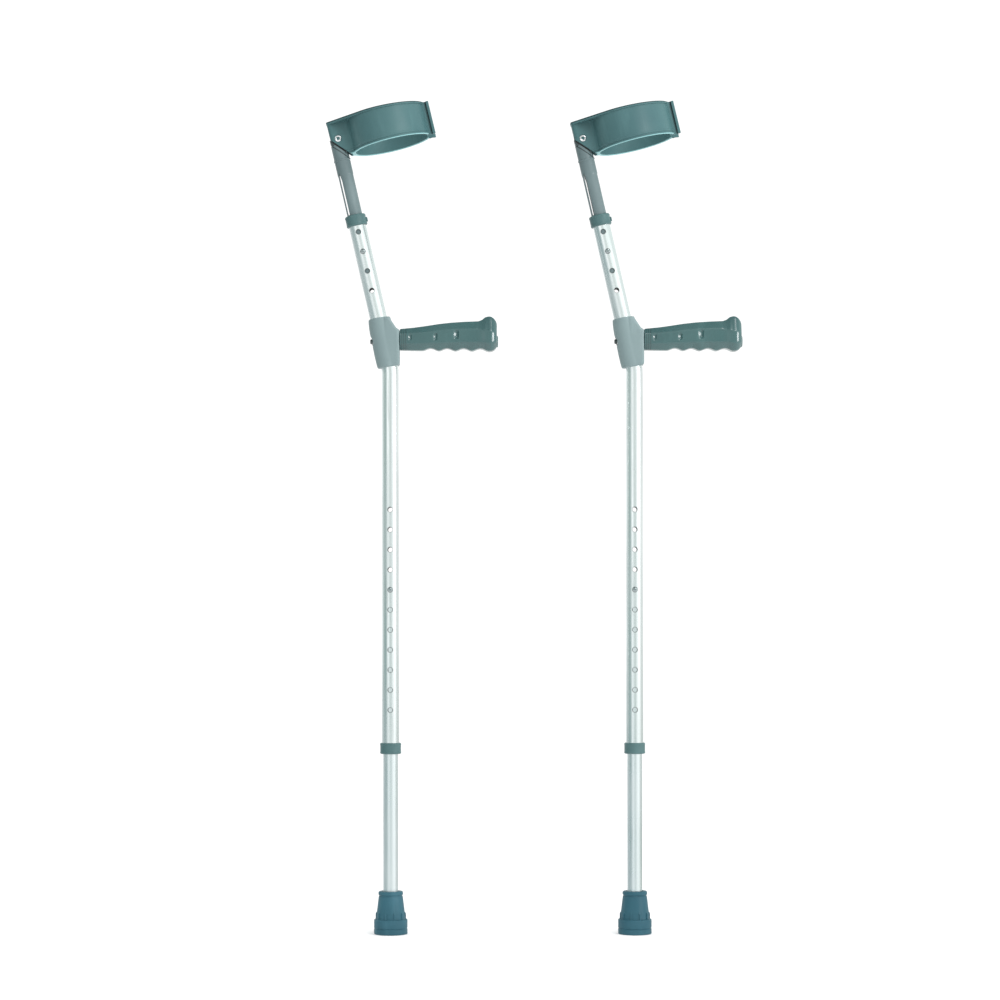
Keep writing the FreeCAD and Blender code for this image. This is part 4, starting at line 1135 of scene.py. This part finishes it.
def grip_section(ahead):
    """One ring of points round the grip, with its grooves and dimples."""
    low, high, half = along_grip(ahead)
    tall = high - low
    dip = FINGER_DEEP * finger_dip(ahead)
    knob = min(1.0, max(0.0, (ahead - 110) / 14))
    foot = low + tall * (0.27 - 0.06 * knob)
    brow = low + tall * (0.74 - 0.18 * knob)
    flat = 0.5 * half
    soft = min(3.5, 0.24 * half)
    corners = [
        (0, low + dip, 0), (flat, low + dip, soft), (half, foot, soft),
        (half, brow, soft), (flat * 1.1, high, soft), (-flat * 1.1, high, soft),
        (-half, brow, soft), (-half, foot, soft), (-flat, low + dip, soft),
    ]
    ring = []
    for y, z in even(rounded(corners, 5), 132):
        for spot, rise, radius in DIMPLES:
            if abs(y) > 0.7 * half:
                y -= math.copysign(dimple_depth(ahead - spot, z - rise, radius), y)
        y -= math.copysign(ring_groove(ahead), y) * min(1, abs(y) / 4)
        ring.append((ahead, y, z))
    return ring


def make_grip():
    """The soft grip, hollow for its core and open at its end for the plug."""
    start, end = GRIP[0][0], GRIP[-1][0]
    first = start + 1.1
    steps = 200
    stations = [start, start + 0.4]
    stations += [first + (end - first) * k / steps for k in range(steps + 1)]
    piece = skin("grip_sleeve", [grip_section(ahead) for ahead in stations])
    melt(piece, VOXEL, 16)
    # Painted shade in the fine grooves round the grip's root.
    store_painted_light(piece, lambda spot: 0.5 * ring_groove(spot.x))
    cut(piece, rod("bore", CORE_RADIUS, (0, 0, HANDLE), (118, 0, HANDLE), 64))
    cut(piece, rod("stem", 5.0, (100, 0, HANDLE), (160, 0, HANDLE), 48))
    cut(piece, rod("seat", 7.5, (133.6, 0, HANDLE + 5), (160, 0, HANDLE + 5), 64))
    place(piece, "floor", "frames", ["grip"], VINYL, math.radians(40))


def make_plug():
    """The plug that closes the grip's end."""
    plug = turned("grip_plug_cap", rounded([
        (0, 120.6, 0), (5.0, 120.6, 0.5), (5.0, 133.6, 0), (7.4, 133.6, 0.2),
        (7.4, 136.2, 0.2), (6.6, 137.0, 0.5), (4.4, 137.0, 0.3), (3.9, 136.6, 0.3),
        (0, 136.6, 0),
    ]), 64)
    place(plug, "handle", "frames", ["grip_plug"], PLUG)


# ---- studio ----

# What the room looks like by azimuth in degrees: 0 is towards the camera's side
# and 90 towards the grips. Shiny surfaces see LOW a little below the level and HIGH
# above it, and SOFT lights the dull ones.
LOW = [
    (-180, (0.95, 0.98, 0.97)), (-156, (0.80, 0.86, 0.85)), (-140, (0.45, 0.52, 0.53)),
    (-122, (0.26, 0.33, 0.34)), (-100, (0.21, 0.31, 0.33)), (-62, (0.19, 0.30, 0.32)),
    (-50, (0.22, 0.34, 0.36)), (-36, (0.38, 0.52, 0.53)), (-24, (0.58, 0.72, 0.73)),
    (-8, (0.57, 0.69, 0.70)), (8, (0.49, 0.61, 0.60)), (20, (0.50, 0.62, 0.61)),
    (32, (0.70, 0.80, 0.79)), (50, (0.80, 0.90, 0.88)), (74, (0.70, 0.80, 0.77)),
    (90, (0.48, 0.56, 0.52)), (106, (0.36, 0.43, 0.40)), (132, (0.40, 0.46, 0.44)),
    (154, (0.70, 0.75, 0.73)), (180, (0.95, 0.98, 0.97)),
]
HIGH = [
    (-180, (1.1, 1.1, 1.1)), (-128, (1.1, 1.1, 1.1)), (-110, (0.74, 0.80, 0.79)),
    (-92, (0.46, 0.55, 0.53)), (-68, (0.31, 0.40, 0.38)), (-54, (0.38, 0.47, 0.45)),
    (-42, (1.0, 1.04, 1.04)), (-34, (1.3, 1.3, 1.3)), (-24, (1.3, 1.3, 1.3)),
    (-14, (0.86, 0.91, 0.89)), (2, (0.60, 0.65, 0.63)), (12, (0.61, 0.66, 0.64)),
    (24, (1.05, 1.08, 1.08)), (34, (1.2, 1.2, 1.2)), (60, (1.2, 1.2, 1.2)),
    (84, (1.1, 1.1, 1.1)), (104, (0.86, 0.88, 0.87)), (126, (0.90, 0.92, 0.91)),
    (150, (1.1, 1.1, 1.1)), (180, (1.1, 1.1, 1.1)),
]
SOFT = [
    (-180, (0.80, 0.80, 0.80)), (-120, (0.28, 0.30, 0.30)), (-55, (0.28, 0.30, 0.30)),
    (-10, (0.82, 0.82, 0.82)), (35, (1.22, 1.21, 1.20)), (80, (1.50, 1.49, 1.47)),
    (120, (1.45, 1.44, 1.42)), (180, (0.80, 0.80, 0.80)),
]


def ramp_of(tree, where, stops):
    """A colour ramp over the azimuth."""
    made = add(tree, "ShaderNodeValToRGB", {0: where})
    elements = made.color_ramp.elements
    elements[0].color = (*stops[0][1], 1)
    elements[1].color = (*stops[-1][1], 1)
    for azimuth, tint in stops[1:-1]:
        stop = elements.new((azimuth + 180) / 360)
        stop.color = (*tint, 1)
    return made.outputs["Color"]


def make_room():
    """A white room, with soft grey and teal flags level with the crutches."""
    world = bpy.data.worlds.new("room")
    bpy.context.scene.world = world
    world.use_nodes = True
    tree = world.node_tree
    tree.nodes.clear()
    way = add(tree, "ShaderNodeTexCoord").outputs["Generated"]
    parts = add(tree, "ShaderNodeSeparateXYZ", {0: way}).outputs
    turn = worked(tree, "ARCTAN2", parts["X"], worked(tree, "MULTIPLY", parts["Y"], -1))
    where = between(tree, turn, 0, 1, -math.pi, math.pi)

    def rising(start, end, below, above):
        """What is seen below one height, easing to what is seen above another."""
        part = between(tree, parts["Z"], 0, 1, start, end)
        return blended(tree, part, below, above)

    low, high = ramp_of(tree, where, LOW), ramp_of(tree, where, HIGH)
    level = rising(-0.075, -0.005, low, high)
    level = rising(0.10, 0.24, level, (0.84, 0.92, 0.90))
    grounded = rising(-0.27, -0.12, (1.15, 1.15, 1.15), level)
    mirror = rising(0.50, 0.72, grounded, (0.25, 0.31, 0.31))
    soft = rising(0.35, 0.60, ramp_of(tree, where, SOFT), (1.3, 1.3, 1.3))
    path = add(tree, "ShaderNodeLightPath")
    room = blended(tree, path.outputs["Is Glossy Ray"], soft, mirror)
    shown = blended(tree, path.outputs["Is Camera Ray"], room, (1.1, 1.1, 1.1))
    lit = add(tree, "ShaderNodeBackground", {"Color": shown, "Strength": 1.0})
    add(tree, "ShaderNodeOutputWorld", {"Surface": lit.outputs[0]})


def lamp(name, azimuth, elevation, away, width, height, glow):
    """A soft lamp aimed at the middle of the crutches; glow is its radiance."""
    aim = Vector((-0.03, 0, 0.55))
    turn, rise = math.radians(azimuth), math.radians(elevation)
    toward = Vector((
        math.sin(turn) * math.cos(rise), -math.cos(turn) * math.cos(rise), math.sin(rise)
    ))
    light = bpy.data.lights.new(name, "AREA")
    light.shape = "RECTANGLE"
    light.size = width
    light.size_y = height
    light.energy = glow * math.pi * width * height
    made = bpy.data.objects.new(name, light)
    bpy.context.scene.collection.objects.link(made)
    made.location = aim + toward * away
    made.rotation_euler = toward.to_track_quat("Z", "Y").to_euler()
    made.visible_camera = False


def make_studio():
    """A round pale floor under soft lights."""
    disc = bpy.data.meshes.new("floor")
    rim = arc(0, 0, 1.7, 0, 357, 119)
    disc.from_pydata([(x, y, 0) for x, y in rim], [], [tuple(range(len(rim)))])
    floor = bpy.data.objects.new("floor", disc)
    bpy.context.scene.collection.objects.link(floor)
    paper, _, _ = new_material(
        "floor_paper", Base_Color=(0.95, 0.95, 0.95, 1), Roughness=0.9
    )
    disc.materials.append(paper)
    floor.visible_glossy = False
    make_room()
    lamp("key", 30, 42, 3.0, 1.0, 1.0, 8)
    lamp("window", 61, 9, 3.0, 0.6, 0.34, 20)


def set_camera():
    """Level with the lower third of the crutches, a long way in front."""
    lens = bpy.data.cameras.new("camera")
    lens.lens = 99.2
    lens.sensor_width = 36
    lens.shift_y = 0.106
    camera = bpy.data.objects.new("camera", lens)
    bpy.context.scene.collection.objects.link(camera)
    camera.location = (-0.0444, -3.5, 0.4163)
    camera.rotation_euler = (math.pi / 2, 0.001, 0)
    bpy.context.scene.camera = camera
    bpy.context.scene.view_settings.view_transform = "Standard"


def finish_inner_pieces():
    """Materials for the pieces inside the others, which keep their CAD shape."""
    for side in SIDES:
        for node, slot, material in (
            ("ferrule_disc", "plated_steel", STEEL),
            ("leg_clip_spring", "spring_steel", SPRING),
            ("arm_clip_spring", "spring_steel", SPRING),
            ("handle_core", "core_nylon", CORE),
        ):
            shown = frame["nodes"][f"{side}_{node}"]
            shown.data.materials.clear()
            shown.data.materials.append(material)


make_main_tube()
make_leg_tube()
make_ferrule()
make_collars()
make_buttons()
make_upright()
make_cuff()
make_rivet()
make_housing()
make_bolt()
make_grip()
make_plug()
finish_inner_pieces()
make_studio()
set_camera()
